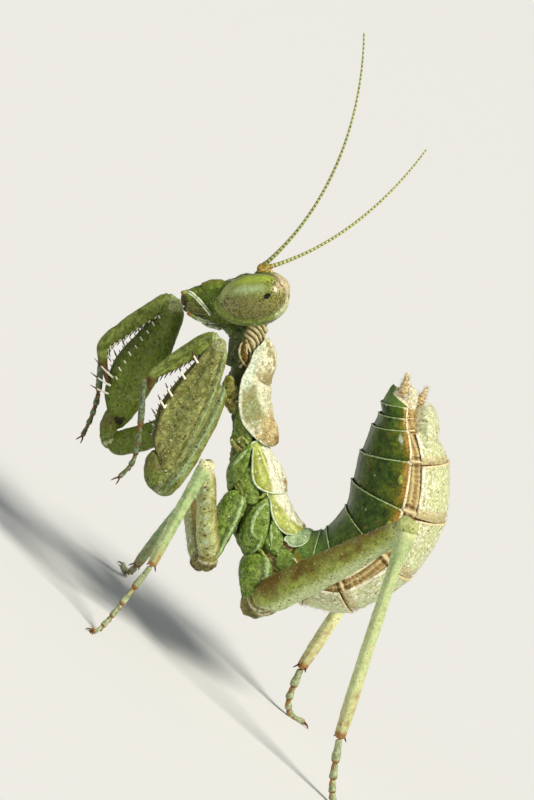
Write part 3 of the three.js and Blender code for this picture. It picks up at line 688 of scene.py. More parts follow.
def ridge(spots, radius, lift=0.0, seed=0):
    """A low rounded ridge over the trunk through (place, angle) points, thin at its ends."""
    spots = np.asarray(spots, float)
    path = on_trunk(spots[:, 0], spots[:, 1], lift)
    back = path[len(path) // 2] - on_trunk(spots[:, 0], spots[:, 1], lift - 1)[len(path) // 2]
    sizes = [(0, radius * 0.3, radius * 0.3, radius), (0.25, radius, radius * 0.8, radius),
        (0.7, radius, radius * 0.8, radius), (1, radius * 0.3, radius * 0.3, radius)]
    cord = Limb(path, sizes, back, ends=0.1)
    return cord.part(50, 12, lambda s, a, p: radius * 0.3 * noise(p, 0.12, seed))


# Grainy hard cuticle: mottled green with a low gloss.
flank_shell = cuticle("green_flank_plate", ("#4e680e", "#93b058", 0.2),
    marks=[("inward", "#7d9440", 0.6, 2.0), ("rim", "#465a12", 0.5, 0.8)],
    specks=[(0.1, 0.025, 0.5, "#4f6420"), (0.12, 0.025, 0.45, "#cfe0b4"), (0.5, 0.035, 0.25, "#eef6e0"),
        (0.5, 0.035, 0.2, "#c9701e")], rough=0.42, relief=1.0, contrast=0.5, glow=0.1, groove="#2a360a")
# The same cuticle drawn paler over the ridges, a painted highlight along each.
ridge_highlight_shell = cuticle("flank_ridge_painted_highlight", ("#7f9c56", "#b4cc98", 0.12), rough=0.42, relief=0.6,
    contrast=0.3, glow=0.15)
# Soft folding skin between the plates: yellower, with a dull gloss.
fold_skin = cuticle(
    "yellow_green_fold", ("#66752a", "#a9b65c", 0.12),
    specks=[(0.12, 0.03, 0.4, "#5c6422")], rough=0.45, relief=0.8, contrast=0.4)

FLANK_PLATES = {
    "meso_epimeron": ([(3.5, -84), (3.95, -80), (4.5, -76), (4.85, -84), (4.75, -104),
                       (4.4, -116), (4.0, -122), (3.75, -104)], 0.1),
    "front_membrane": ([(1.7, -66), (2.1, -70), (2.3, -84), (2.35, -112), (2.1, -132),
                        (1.7, -112), (1.5, -86)], 0.08),
    "meta_front": ([(4.45, -128), (4.9, -112), (5.3, -134), (5.6, -160), (5.1, -168),
                    (4.6, -156)], 0.1),
    "mesopleuron": ([(2.25, -69), (2.6, -108), (3.1, -134), (3.7, -160), (4.3, -152),
                     (4.05, -118), (3.6, -95), (3.0, -80)], 0.17),
    "metapleuron": ([(4.75, -60), (4.85, -79), (5.1, -99), (5.6, -119), (6.05, -132),
                     (6.5, -136), (6.6, -112), (6.5, -90), (6.0, -74), (5.4, -64)], 0.19),
    "epimeron": ([(5.6, -60), (6.05, -73), (6.6, -88), (7.25, -84), (7.1, -68),
                  (6.7, -58), (6.2, -56)], 0.14),
    "episternum": ([(4.55, -112), (4.9, -104), (5.3, -122), (5.8, -140), (5.7, -158),
                    (5.2, -150), (4.8, -132)], 0.16),
    "front_episternum": ([(0.9, -70), (1.2, -100), (1.8, -140), (2.3, -150), (2.3, -110),
                          (1.9, -80), (1.4, -66)], 0.1),
    "last_side_plate": ([(7.2, -70), (7.5, -95), (8.1, -102), (8.6, -94), (8.4, -76),
                         (7.8, -66)], 0.1),
}
FLANK_RIDGES = [
    ([(2.6, -86), (3.0, -106), (3.25, -118), (3.45, -132)], 0.08, 0.13),
    ([(4.9, -64), (5.0, -76), (5.3, -90), (5.65, -97), (5.95, -99), (6.25, -92)], 0.08, 0.16),
    ([(6.1, -84), (6.5, -102), (6.6, -120)], 0.06, 0.13),
    ([(5.75, -66), (6.2, -72), (6.7, -80)], 0.05, 0.1),
]
SOFT_FOLDS = [
    [(4.0, -136), (4.35, -118), (4.75, -118), (5.1, -128)],
    [(3.95, -126), (4.35, -110), (4.85, -108), (5.25, -118)],
    [(3.9, -112), (4.3, -100), (4.7, -96)], [(4.05, -100), (4.45, -88), (4.8, -86)],
    [(6.2, -118), (6.55, -104), (6.95, -100), (7.3, -104)],
    [(6.3, -130), (6.75, -114), (7.15, -112), (7.5, -116)],
    [(1.7, -84), (2.0, -92), (2.15, -116), (2.2, -140)],
    [(1.5, -90), (1.8, -98), (1.95, -120), (2.0, -145)],
    [(4.35, -58), (4.65, -68), (4.7, -82)],
]
plates = [dome(outline, height, seed=50 + i) for i, (outline, height) in enumerate(FLANK_PLATES.values())]
ridges = [ridge(spots, radius, lift, 60 + i) for i, (spots, radius, lift) in enumerate(FLANK_RIDGES)]
folds = [ridge(spots, 0.07, 0.03, 70 + i) for i, spots in enumerate(SOFT_FOLDS)]
for name, parts, finish in (
    ("flank_plates", plates, flank_shell),
    ("flank_ridges", ridges, ridge_highlight_shell),
    ("flank_folds", folds, fold_skin),
):
    both_sides = parts + [mirrored(p) for p in parts]
    piece(name, both_sides, finish, ["mesothorax", "metathorax"])

# ------ back shields and wing pads
# The second and third shields of the back. Each runs out at the sides into the flat tongue
# that will become a wing: yellow-green with lengthwise veins inside a raised white-green rim,
# and pale mottled with brown over the middle of the back.


def tongue(outline, height, seed, pale=(40, 40), thick=0.09):
    """A flat lobe over the flank inside a closed outline of (place, angle) points, standing
    higher towards its hind end, with a raised rim. `pale` is how far round from the back its
    pale middle reaches, at its front and at its end."""
    edge, middle = closed_curve(outline, 140)
    grow = np.r_[np.linspace(1.0, 0.9, 12), np.linspace(0.88, 0.02, 26)][:, None]
    spot = middle + (edge[None] - middle) * grow[..., None]
    place, angle = spot[..., 0], spot[..., 1]
    ends = [spot[0] for spot in outline]
    back = ramp(place, min(ends), max(ends))
    lift = 0.04 + height * (0.45 + 0.55 * back) * (0.55 + 0.45 * (1 - grow ** 2.5))
    lift = lift + 0.035 * bell(grow, 0.975, 0.014)
    veins = np.cos(np.radians(angle) * 22 + 0.8 * noise(on_trunk(place, angle), 0.8, seed))
    flat = 1 - ramp(grow, 0.7, 0.92)
    lift = lift + 0.018 * veins * flat + 0.015 * noise(on_trunk(place, angle), 0.3, seed)
    upper = on_trunk(place, angle, lift)
    under = on_trunk(place, angle, lift - thick * 1.6 * np.sqrt(np.clip(1 - grow ** 8, 0, 1)) - 0.02)
    ring = np.concatenate([upper[::-1], under])
    both = lambda value: np.concatenate([(value + 0 * angle)[::-1], value + 0 * angle])
    wander = 7 * noise(on_trunk(place, angle), 0.5, seed + 5)
    middle = pale[0] + (pale[1] - pale[0]) * back
    pale_back = 1 - ramp(abs(angle) + wander, middle - 6, middle + 6)
    # Brown veins fan out over the pale middle of the back.
    twist = 3.0 * noise(on_trunk(place, angle), 0.35, seed + 6)
    fan = np.cos(np.radians(angle) * 34 * (1.2 - 0.5 * back) + twist)
    fan = ramp(fan, 0.2, 1.0) * (0.45 + 0.5 * noise(on_trunk(place, angle), 0.25, seed + 7))
    return tube(ring, rim=both(ramp(grow, 0.947, 0.963)), vein=both(ramp(veins, 0.2, 0.9) * flat),
        dorsal=both(pale_back), fan=both(pale_back * fan * flat),
        tip=both(0.75 * ramp(abs(angle) - wander, 26, 8) * ramp(back, 0.75, 1.0)),
        # A thin line of painted shade just inside the raised rim.
        groove=both(0.45 * bell(grow, 0.93, 0.01)))


# The thin double skin of a wing bud: milky over its white veins.
pad_shell = cuticle("veined_wing_pad", ("#84921e", "#b4c45a", 0.3),
    marks=[("vein", "#cbd68a", 0.6, 0.8), ("dorsal", "#e9eed2", 0.5, 1.0), ("fan", "#a5865a", 0.6, 1.2),
        ("tip", "#8a6a3c", 0.6, 1.8), ("rim", "#d6e8c6", 0.3, 0.2)],
    specks=[(0.11, 0.028, 0.5, "#9c8f54"), (0.15, 0.03, 0.4, "#f8fdec")], rough=0.42, relief=0.8,
    contrast=0.36, glow=0.2, groove="#5f6f20")

PAD_OUTLINES = {
    "mesonotum": ([(2.2, -67), (2.7, -72), (3.2, -78), (3.8, -84), (4.25, -80), (4.55, -62),
                   (4.72, -38), (4.78, -14)], 0.2, (42, 52)),
    "metanotum": ([(4.45, -52), (4.9, -58), (5.4, -61), (6.0, -58), (6.6, -50), (6.98, -38),
                   (7.15, -22), (7.2, -8)], 0.2, (42, 18)),
}
for number, (name, (left, height, pale)) in enumerate(PAD_OUTLINES.items()):
    right = [(place, -angle) for place, angle in left[::-1]]
    piece(name + "_shield", [tongue(left + right, height, 80 + number, pale)], pad_shell,
          [name])

# The abdomen's first back plate ends in a rounded lobe of the same kind.
left = [(6.62, -48), (7.1, -58), (7.7, -58), (8.2, -50), (8.42, -36), (8.4, -12)]
lobe = tongue(left + [(place, -angle) for place, angle in left[::-1]], 0.1, 83)
# Thin waxed cuticle: sage green with a pale rim and a soft gloss.
lobe_shell = cuticle(
    "sage_first_back_plate", ("#7f9a66", "#adc496", 0.25), marks=[("rim", "#d3e2c2", 0.3, 0.2)],
    specks=[(0.12, 0.025, 0.4, "#f6fbec"), (0.2, 0.03, 0.3, "#8a6a3a")], relief=0.8)
piece("tergite_1", [lobe], lobe_shell, ["abdomen_1"])

# ------ neck shield
# The saddle-shaped shield over the first part of the thorax, widest behind its middle, with a
# thin turned-up rim and a curved groove across it. Cream in front with tan blotches, blue-white
# at its margins, grey-green along its sides and rosy brown at its end.

PRONOTUM_FRONT = np.array([-4.3, 0, 12.73])
PRONOTUM_SLOPE = math.radians(-49.3)
# Distance back from its front, height of its top, height of its edge, half width.
PRONOTUM = [
    (-0.08, -0.1, -0.16, 0.1), (0.0, 0.0, -0.2, 0.36), (0.25, 0.12, -0.5, 0.62),
    (0.8, 0.21, -0.8, 0.9), (1.3, 0.05, -1.12, 1.08), (1.9, -0.16, -1.29, 1.18),
    (2.6, -0.19, -1.35, 1.14), (3.1, -0.15, -1.28, 1.04), (3.5, -0.06, -1.06, 0.9),
    (3.9, -0.02, -0.74, 0.68), (4.15, -0.06, -0.46, 0.42), (4.24, -0.12, -0.3, 0.16),
]
axis = np.array([math.cos(PRONOTUM_SLOPE), 0, math.sin(PRONOTUM_SLOPE)])
lift_way = np.array([-math.sin(PRONOTUM_SLOPE), 0, math.cos(PRONOTUM_SLOPE)])
row = np.linspace(0, 1, 130)
row = (row - 0.9 * np.sin(2 * np.pi * row) / (2 * np.pi))[:, None]
column = crowded(121, 0.95)
back = -0.08 + row * 4.32
top, edge, half = np.moveaxis(smooth_rows(back, PRONOTUM), -1, 0)
turn = column * np.pi / 2
# Near its edge the shield flares out a little, like the brim of a hat.
brim = ramp(abs(column), 0.82, 1.0)
across = half * np.sin(turn) * (1 + 0.05 * brim)
high = edge + (top - edge) * np.cos(turn) ** 0.85 + 0.03 * brim
sulcus_at = 1.8 - 0.22 * (column * 2) ** 2
sulcus = bell(back, sulcus_at, 0.03) * (1 - ramp(abs(column), 0.6, 0.7))
keel = bell(column, 0, 0.03) * ramp(back, 1.6, 2.0) * 0.04
flat = (PRONOTUM_FRONT + axis * back[..., None] + np.array([0, 1.0, 0]) * across[..., None]
        + lift_way * high[..., None])
out_way = unit(lift_way * np.cos(turn)[..., None] + np.array([0, 1.0, 0]) * np.sin(turn)[..., None])
lumps = 0.035 * noise(flat, 0.35, 90) + 0.022 * noise(flat, 0.14, 91)
beaded = 0.025 * np.maximum(0, np.sin(back * 2 * np.pi / 0.17)) * ramp(abs(column), 0.95, 0.99)
flat = flat + out_way * (lumps + keel + beaded - 0.09 * sulcus)[..., None]
rim = np.maximum(ramp(abs(column), 0.955, 0.98), ramp(abs(row - 0.5), 0.488, 0.494))
turned = abs(turn) * 180 / np.pi
# Thick pitted cuticle: cream and tan, and nearly matt.
pronotum_shell = cuticle("cream_and_green_neck_shield", ("#dcdcb4", "#f7f7de", 0.2),
    marks=[("side", "#7a8a4e", 0.7, 1.8), ("hind", "#c2ad72", 0.7, 2.0), ("blotch", "#9d9a6c", 0.6, 1.8),
        ("patch", "#a3945e", 0.6, 1.6), ("margin", "#d3e0c4", 0.5, 0.8), ("cream", "#e6ebcb", 0.5, 1.0),
        ("end", "#86602a", 0.6, 1.8), ("rim", "#e2ead0", 0.2, 0.1)],
    specks=[(0.08, 0.022, 0.5, "#86804c"), (0.13, 0.035, 0.4, "#a8925e"), (0.16, 0.03, 0.45, "#fdfcea"),
        (0.12, 0.035, 0.8, "#7d5a2a", "hind")], rough=0.48, relief=1.0, contrast=0.4, glow=0.15,
    groove="#4a3c16")
piece("pronotum_shield", [plate(
    # The curved sulcus is darkened with painted shade.
    flat, 0.1, rim=rim * 0.9, groove=sulcus * 0.85,
    side=ramp(turned, 18 + 34 * ramp(back, 2.4, 1.5), 50) * (1 - ramp(turned, 82, 89))
    * ramp(back, 1.35, 1.7) * (1 - ramp(back, 2.9, 3.7)) * 0.9,
    hind=ramp(back, 2.4 + 1.0 * ramp(turned, 25, 80), 3.2 + 0.7 * ramp(turned, 25, 80)) * 0.9,
    blotch=ramp(noise(flat, 0.24, 92), 0.05, 0.5) * ramp(back, 1.7, 1.0) * ramp(turned, 74, 60),
    patch=ramp(back, 0.95, 1.4) * ramp(back, sulcus_at + 0.03, sulcus_at - 0.03)
    * ramp(turned, 74, 62) * (0.75 + 0.3 * noise(flat, 0.3, 93)),
    margin=ramp(turned, 66, 75) * (1 - ramp(back, 1.5, 2.1)) + ramp(turned, 85, 89) * 0.7,
    cream=0.8 * bell(turned + 16 * (back - 1.2), 60, 9) * ramp(back, 1.3, 1.7)
    * ramp(back, 3.2, 2.6),
    end=ramp(back, 3.6, 4.1) * (1 - ramp(turned, 25, 50)))],
    pronotum_shell, ["pronotum"])

# ------ neck
# The soft stalk of the head: green, painted nearly black below as shadow, with tight cream folds
# behind and the small brown neck plate on each side that carries a pale ridge.

neck_path = [[-5.5, 0, 13.2], [-5.35, 0, 12.75], [-5.18, 0, 12.3], [-4.98, 0, 11.95], [-4.8, 0, 11.5],
    [-4.6, 0, 11.1]]
neck = Limb(neck_path,
    [(0, 0.56, 0.66, 0.56), (0.3, 0.62, 0.8, 0.6), (0.6, 0.64, 0.72, 0.6), (1, 0.6, 0.56, 0.55)],
    [0.8, 0, 0.5], ends=0.05)
NECK_FOLD = 0.19  # mm from one fold to the next
FOLDED_ROUND = np.array([-5.12, 0.62, 11.45])  # the folds lie in arcs round a spot on each side


def pleats(s, a, p):
    """Arcs of folds, which wander a little."""
    apart = np.linalg.norm(p * [1, 0, 1] + [0, 1, 0] * abs(p[..., 1:2]) - FOLDED_ROUND, axis=-1)
    return np.cos(2 * np.pi * apart / NECK_FOLD + 1.6 * noise(p, 0.35, 95) + 0.5 * noise(p, 0.1, 89))


pale = lambda s, a, p: ramp(abs(a) + 10 * noise(p, 0.3, 97), 92, 70)
# Stretched green skin, painted nearly black as shadow where no cream fold covers it; the folds are
# lighter on their crests as painted highlight and brown in their troughs as painted shade.
neck_skin = cuticle(
    "folded_neck_skin", ("#2a3a12", "#4c5c26", 0.25),
    marks=[("fold", "#ddd3a4", 0.6, 0.7), ("crease", "#6e5026", 0.6, 0.6)],
    specks=[(0.12, 0.03, 0.35, "#a08a54")], rough=0.5, relief=0.8, contrast=0.4)
piece("neck_skin", [neck.part(
    260, 200, lambda s, a, p: (0.012 + 0.045 * pale(s, a, p)) * pleats(s, a, p) + 0.04 * noise(p, 0.25, 98),
    # Cream over the back, lighter on each fold's crest as painted highlight.
    fold=lambda s, a, p: pale(s, a, p) * (0.45 + 0.5 * ramp(pleats(s, a, p), -0.6, 0.6)),
    # Brown painted shade in the troughs between the folds.
    crease=lambda s, a, p: pale(s, a, p) * ramp(pleats(s, a, p), -0.55, -0.95))],
    neck_skin, ["neck"])

# Tanned cuticle: smooth and brown with a pale crest.
neck_plate = cuticle("brown_neck_plate", ("#4e3810", "#7c6426", 0.1),
    marks=[("rim", "#cfca98", 0.5, 0.8)], specks=[(0.1, 0.025, 0.5, "#c9b27a")], rough=0.45, contrast=0.4)
lobe = Limb([[-5.08, -0.66, 12.41], [-4.92, -0.72, 12.02], [-4.72, -0.74, 11.72], [-4.42, -0.66, 11.54]],
    [(0, 0.05, 0.06, 0.1), (0.35, 0.12, 0.1, 0.12), (0.7, 0.17, 0.12, 0.14), (1, 0.06, 0.08, 0.1)],
    [0, -1, 0], ends=0.2)
lobe = lobe.part(60, 40, lambda s, a, p: 0.03 * noise(p, 0.12, 96),
    rim=lambda s, a, p: 0.7 * ramp(abs(abs(a) - 60), 22, 6) * ramp(noise(p, 0.2, 94), -0.5, 0.3),
    # Painted shade on the side of each plate that faces the neck.
    groove=lambda s, a, p: 0.4 * ramp(abs(a), 80, 110))
second = Limb(
    [[-5.1, -0.62, 12.22], [-5.07, -0.72, 11.96], [-4.95, -0.76, 11.74], [-4.69, -0.76, 11.53],
        [-4.36, -0.68, 11.42]], [(0, 0.03, 0.03, 0.06), (0.5, 0.06, 0.05, 0.08), (1, 0.03, 0.03, 0.06)],
    [0, -1, 0], ends=0.1)
second = second.part(60, 24, lambda s, a, p: 0.015 * noise(p, 0.12, 99),
    rim=lambda s, a, p: 0.75 + 0.3 * noise(p, 0.15, 88))
piece("neck_side_plates", [lobe, mirrored(lobe), second, mirrored(second)], neck_plate,
      ["neck"])

# Soft yellow-green lobes fill the joint where each fore leg hangs from the thorax. Their skin is
# creased, with brown in the folds and a dull gloss.
joint_lobe = cuticle(
    "joint_lobe_of_fore_leg", ("#58641c", "#a2ac58", 0.15),
    marks=[("fold", "#c3cf88", 0.5, 0.8), ("brown", "#6b4f1c", 0.5, 0.8)],
    specks=[(0.1, 0.025, 0.5, "#5a5018"), (0.2, 0.035, 0.4, "#f6f9dc")], relief=0.9,
    contrast=0.4)
lobes = []
for path, size in (
    ([[-4.78, -0.72, 10.72], [-4.5, -1.0, 10.45], [-4.28, -1.02, 10.0]], 0.27),
    ([[-4.45, -0.86, 10.62], [-4.2, -1.0, 10.35], [-4.1, -0.96, 9.95]], 0.2),
    ([[-4.35, -0.8, 10.05], [-4.05, -0.94, 9.9], [-3.8, -0.86, 9.55]], 0.25),
    ([[-4.0, -0.74, 10.4], [-3.88, -0.9, 10.05], [-3.7, -0.84, 9.6]], 0.17),
    ([[-3.15, -0.5, 9.4], [-2.9, -0.76, 9.2], [-2.55, -0.8, 9.12]], 0.09),
    ([[-3.2, -0.5, 9.22], [-2.92, -0.76, 9.02], [-2.5, -0.8, 8.95]], 0.1),
    ([[-3.22, -0.5, 9.02], [-2.92, -0.76, 8.82], [-2.5, -0.8, 8.76]], 0.1),
    ([[-3.25, -0.5, 8.8], [-2.95, -0.76, 8.6], [-2.5, -0.8, 8.56]], 0.12),
):
    lobe = Limb(path, [(0, size * 0.5), (0.4, size, size * 0.8, size), (1, size * 0.4)], [0, -1, 0],
        ends=0.25)
    lobes.append(
        lobe.part(50, 40, lambda s, a, p: 0.05 * noise(p, 0.2, 140) + 0.02 * noise(p, 0.08, 141),
            fold=lambda s, a, p: 0.8 * bell(abs(a), 50, 16),
            brown=lambda s, a, p: 0.32 + 0.6 * noise(p, 0.2, 142),
            # Painted shade on the side of each lobe that faces the body.
            groove=lambda s, a, p: 0.5 * ramp(abs(a), 70, 110)))
piece("fore_leg_joint_lobes", lobes + [mirrored(p) for p in lobes], joint_lobe,
      ["prothorax"])

# ------ grasping legs
# The two folded fore legs: a stout coxa, a blade-shaped femur with two rows of spines and the
# long hooked ones at its middle, a curved tibia with a comb of teeth and an end claw, and the
# thin foot that hangs from it. Olive shell freckled with brown; spines white with dark tips.

FORE_LEGS = {
    "left": {
        "base": [-4.7, -1.05, 10.3], "elbow": [-4.34, -2.4, 5.43], "femur": [-4.55, -2.5, 6.28],
        "cup": [[-4.32, -2.4, 6.17], [-4.44, -2.4, 5.88], [-4.79, -2.42, 6.03], [-5.14, -2.45, 6.38],
                [-5.42, -2.45, 6.8]],
        "bow": 0.2, "hooks": 0.55, "knee": [-5.72, -2.0, 11.75],
        "tibia": [[-6.22, -2.0, 11.57], [-6.6, -2.05, 10.8], [-6.94, -2.1, 9.9], [-7.19, -2.1, 9.07]],
        "claw": [-6.88, -2.0, 8.45], "wrist": [-7.41, -2.4, 8.92],
        "foot": [[-6.33, -2.45, 7.11], [-6.02, -2.5, 6.49], [-5.81, -2.55, 5.85], [-5.9, -2.7, 5.11]],
    },
    "right": {
        "base": [-4.45, 0.75, 9.95], "elbow": [-7.08, 2.0, 5.08], "femur": [-7.28, 1.95, 5.78],
        "cup": [[-6.95, 1.95, 5.38], [-7.14, 1.9, 5.33], [-7.4, 1.85, 5.61], [-7.66, 1.8, 5.96],
                [-7.91, 1.75, 6.41]],
        "bow": 0.36, "hooks": 1.0, "knee": [-8.1, 1.6, 11.5],
        "tibia": [[-8.55, 1.6, 11.31], [-8.9, 1.65, 10.55], [-9.34, 1.7, 9.37], [-9.56, 1.7, 8.3]],
        "claw": [-8.47, 1.6, 7.14], "wrist": [-9.57, 2.0, 8.07],
        "foot": [[-8.64, 2.1, 6.59], [-8.31, 2.2, 5.66], [-8.14, 2.3, 4.72]],
    },
}
SIDES = {"left": -1, "right": 1}


def thorn(foot, way, length, radius, bend=(0.0, 0.0, 0.0)):
    """One larger spine standing on `foot`, which bends over by `bend` at its tip."""
    way, bend = unit(np.asarray(way, float)), np.asarray(bend, float)
    path = [foot - way * radius, foot + way * length * 0.5 + bend * 0.2, foot + way * length + bend]
    sizes = [(share, radius * part) for share, part in ((0, 1.1), (0.3, 0.85), (0.75, 0.6), (1, 0.2))]
    across = np.cross(way, [0.31, 0.9, 0.22])
    return Limb(path, sizes, across, ends=0.02).part(14, 10)


def foot_parts(path, radius, claw_way, ends=(0.3, 0.5, 0.66, 0.79, 1.0)):
    """A foot of five joints along a path, each widening to its end with two small lobes
    beneath, and a pair of claws."""
    parts, start, down = [], 0.0, np.array([0.0, 0.0, -1.0])
    for number, end in enumerate(ends):
        line = follow(path, np.linspace(start, end, 5))
        r = radius * (1.0, 0.92, 0.86, 0.82, 0.72)[number]
        sizes = [(0, 0.7 * r), (0.3, 0.72 * r), (0.8, 0.98 * r, 0.9 * r, 1.0 * r),
            (1, 0.82 * r, 0.8 * r, 0.82 * r)]
        joint = Limb(line, sizes, [0.2, 0.3, 0.9], ends=(0.08, 0.12))
        parts.append(
            joint.part(30, 14, lambda s, a, p: 0.012 * noise(p, 0.08, 7),
                joint=lambda s, a, p: np.maximum(ramp(s, 0.76, 0.96), 0.7 * ramp(s, 0.1, 0.0))
                    + 0.4 * ramp(a, 150, 175)))
        if number < 4:
            ahead = unit(line[-1] - line[-2])
            for turn in (-1, 1):
                across = unit(np.cross(ahead, down + [0.01, 0.02, 0])) * turn
                root = line[-1] - ahead * r * 0.4
                tip = root + ahead * r * 1.1 + across * r * 0.75 + down * r * 0.9
                lobe = [(0, 0.5 * r), (0.5, 0.42 * r), (1, 0.16 * r)]
                parts.append(Limb([root, (root + tip) / 2, tip], lobe, across, ends=(0.1, 0.3)).part(
                    12, 10, joint=1.0))
        start = end - 0.006
    tip = follow(path, [0.97, 1.0])
    ahead = unit(tip[1] - tip[0])
    across = unit(np.cross(ahead, [0.05, 0.1, 1.0]))
    for turn in (-1, 1):
        way = ahead * 0.8 + across * turn * 0.7
        parts.append(thorn(tip[1] + across * turn * radius * 0.25, way, radius * 1.5, radius * 0.28,
                           np.asarray(claw_way) * radius * 1.1))
        parts[-1]["marks"]["claw"] = np.ones(len(parts[-1]["points"]))
    return parts


# Hard cuticle, olive with brown freckles, and a dull gloss.
grasping_shell = cuticle("freckled_olive_grasping_leg", ("#6b742e", "#a2aa66", 0.3),
    marks=[("inner", "#57700f", 0.6, 1.2), ("streak", "#b0b766", 0.6, 1.2),
        ("ventral", "#4a6018", 0.5, 0.7), ("ridge", "#96b488", 0.5, 0.9), ("brown", "#63562c", 0.6, 1.2),
        ("spot", "#0c0a03", 0.5, 0.3), ("pale", "#c9d0a2", 0.5, 0.9)],
    specks=[(0.1, 0.028, 0.6, "#54441e"), (0.06, 0.016, 0.6, "#6f5f2a"), (0.2, 0.05, 0.35, "#4a3616"),
        (0.11, 0.026, 0.4, "#c6cc96", "outside"), (0.8, 0.06, 0.3, "#fdfff2", "outside")], rough=0.45,
    relief=1.0, contrast=0.45)
# The same on the shin, but greener and a little smoother.
shin_shell = cuticle("green_grasping_shin", ("#4e5e14", "#8a9a48", 0.3),
    marks=[("edge", "#7c5c26", 0.5, 0.8), ("pale", "#a9b880", 0.5, 0.7), ("claw", "#5e4520", 0.6, 0.7)],
    specks=[(0.16, 0.035, 0.4, "#8a6c2a"), (0.1, 0.022, 0.5, "#3c4a10"), (0.8, 0.05, 0.3, "#f6fbe6")],
    relief=0.8, glow=0.15)
# Solid ivory-white spines, smooth, with burnt tips.
spine_shell = cuticle(
    "white_spine_with_dark_tip", ("#e2dfc0", "#fbfaf0", 0.1),
    marks=[("tip", "#3c1c0c", 0.3, 0.2)], rough=0.35, relief=0.2, contrast=0.12, glow=0.2)
# Solid dark teeth with a small bright gloss.
tooth_shell = cuticle("dark_brown_tooth", ("#2c1608", "#57290f", 0.08), rough=0.35, relief=0.2,
    contrast=0.2, glow=0.05)
# Thin foot shell: grey-green, rusty where its joints are tanned.
fore_foot_shell = cuticle(
    "teal_and_rust_foot", ("#424e26", "#7d9272", 0.12),
    marks=[("joint", "#75542c", 0.6, 1.2), ("claw", "#5a3418", 0.3, 0.2)],
    specks=[(0.1, 0.02, 0.4, "#473014")], relief=0.6, glow=0.15)


def dark_tip(parts, start=0.55):
    """The dark end of every spine in a list of parts."""
    for part in parts:
        part["marks"]["tip"] = ramp(part["marks"]["share"], start, start + 0.2)
    return parts


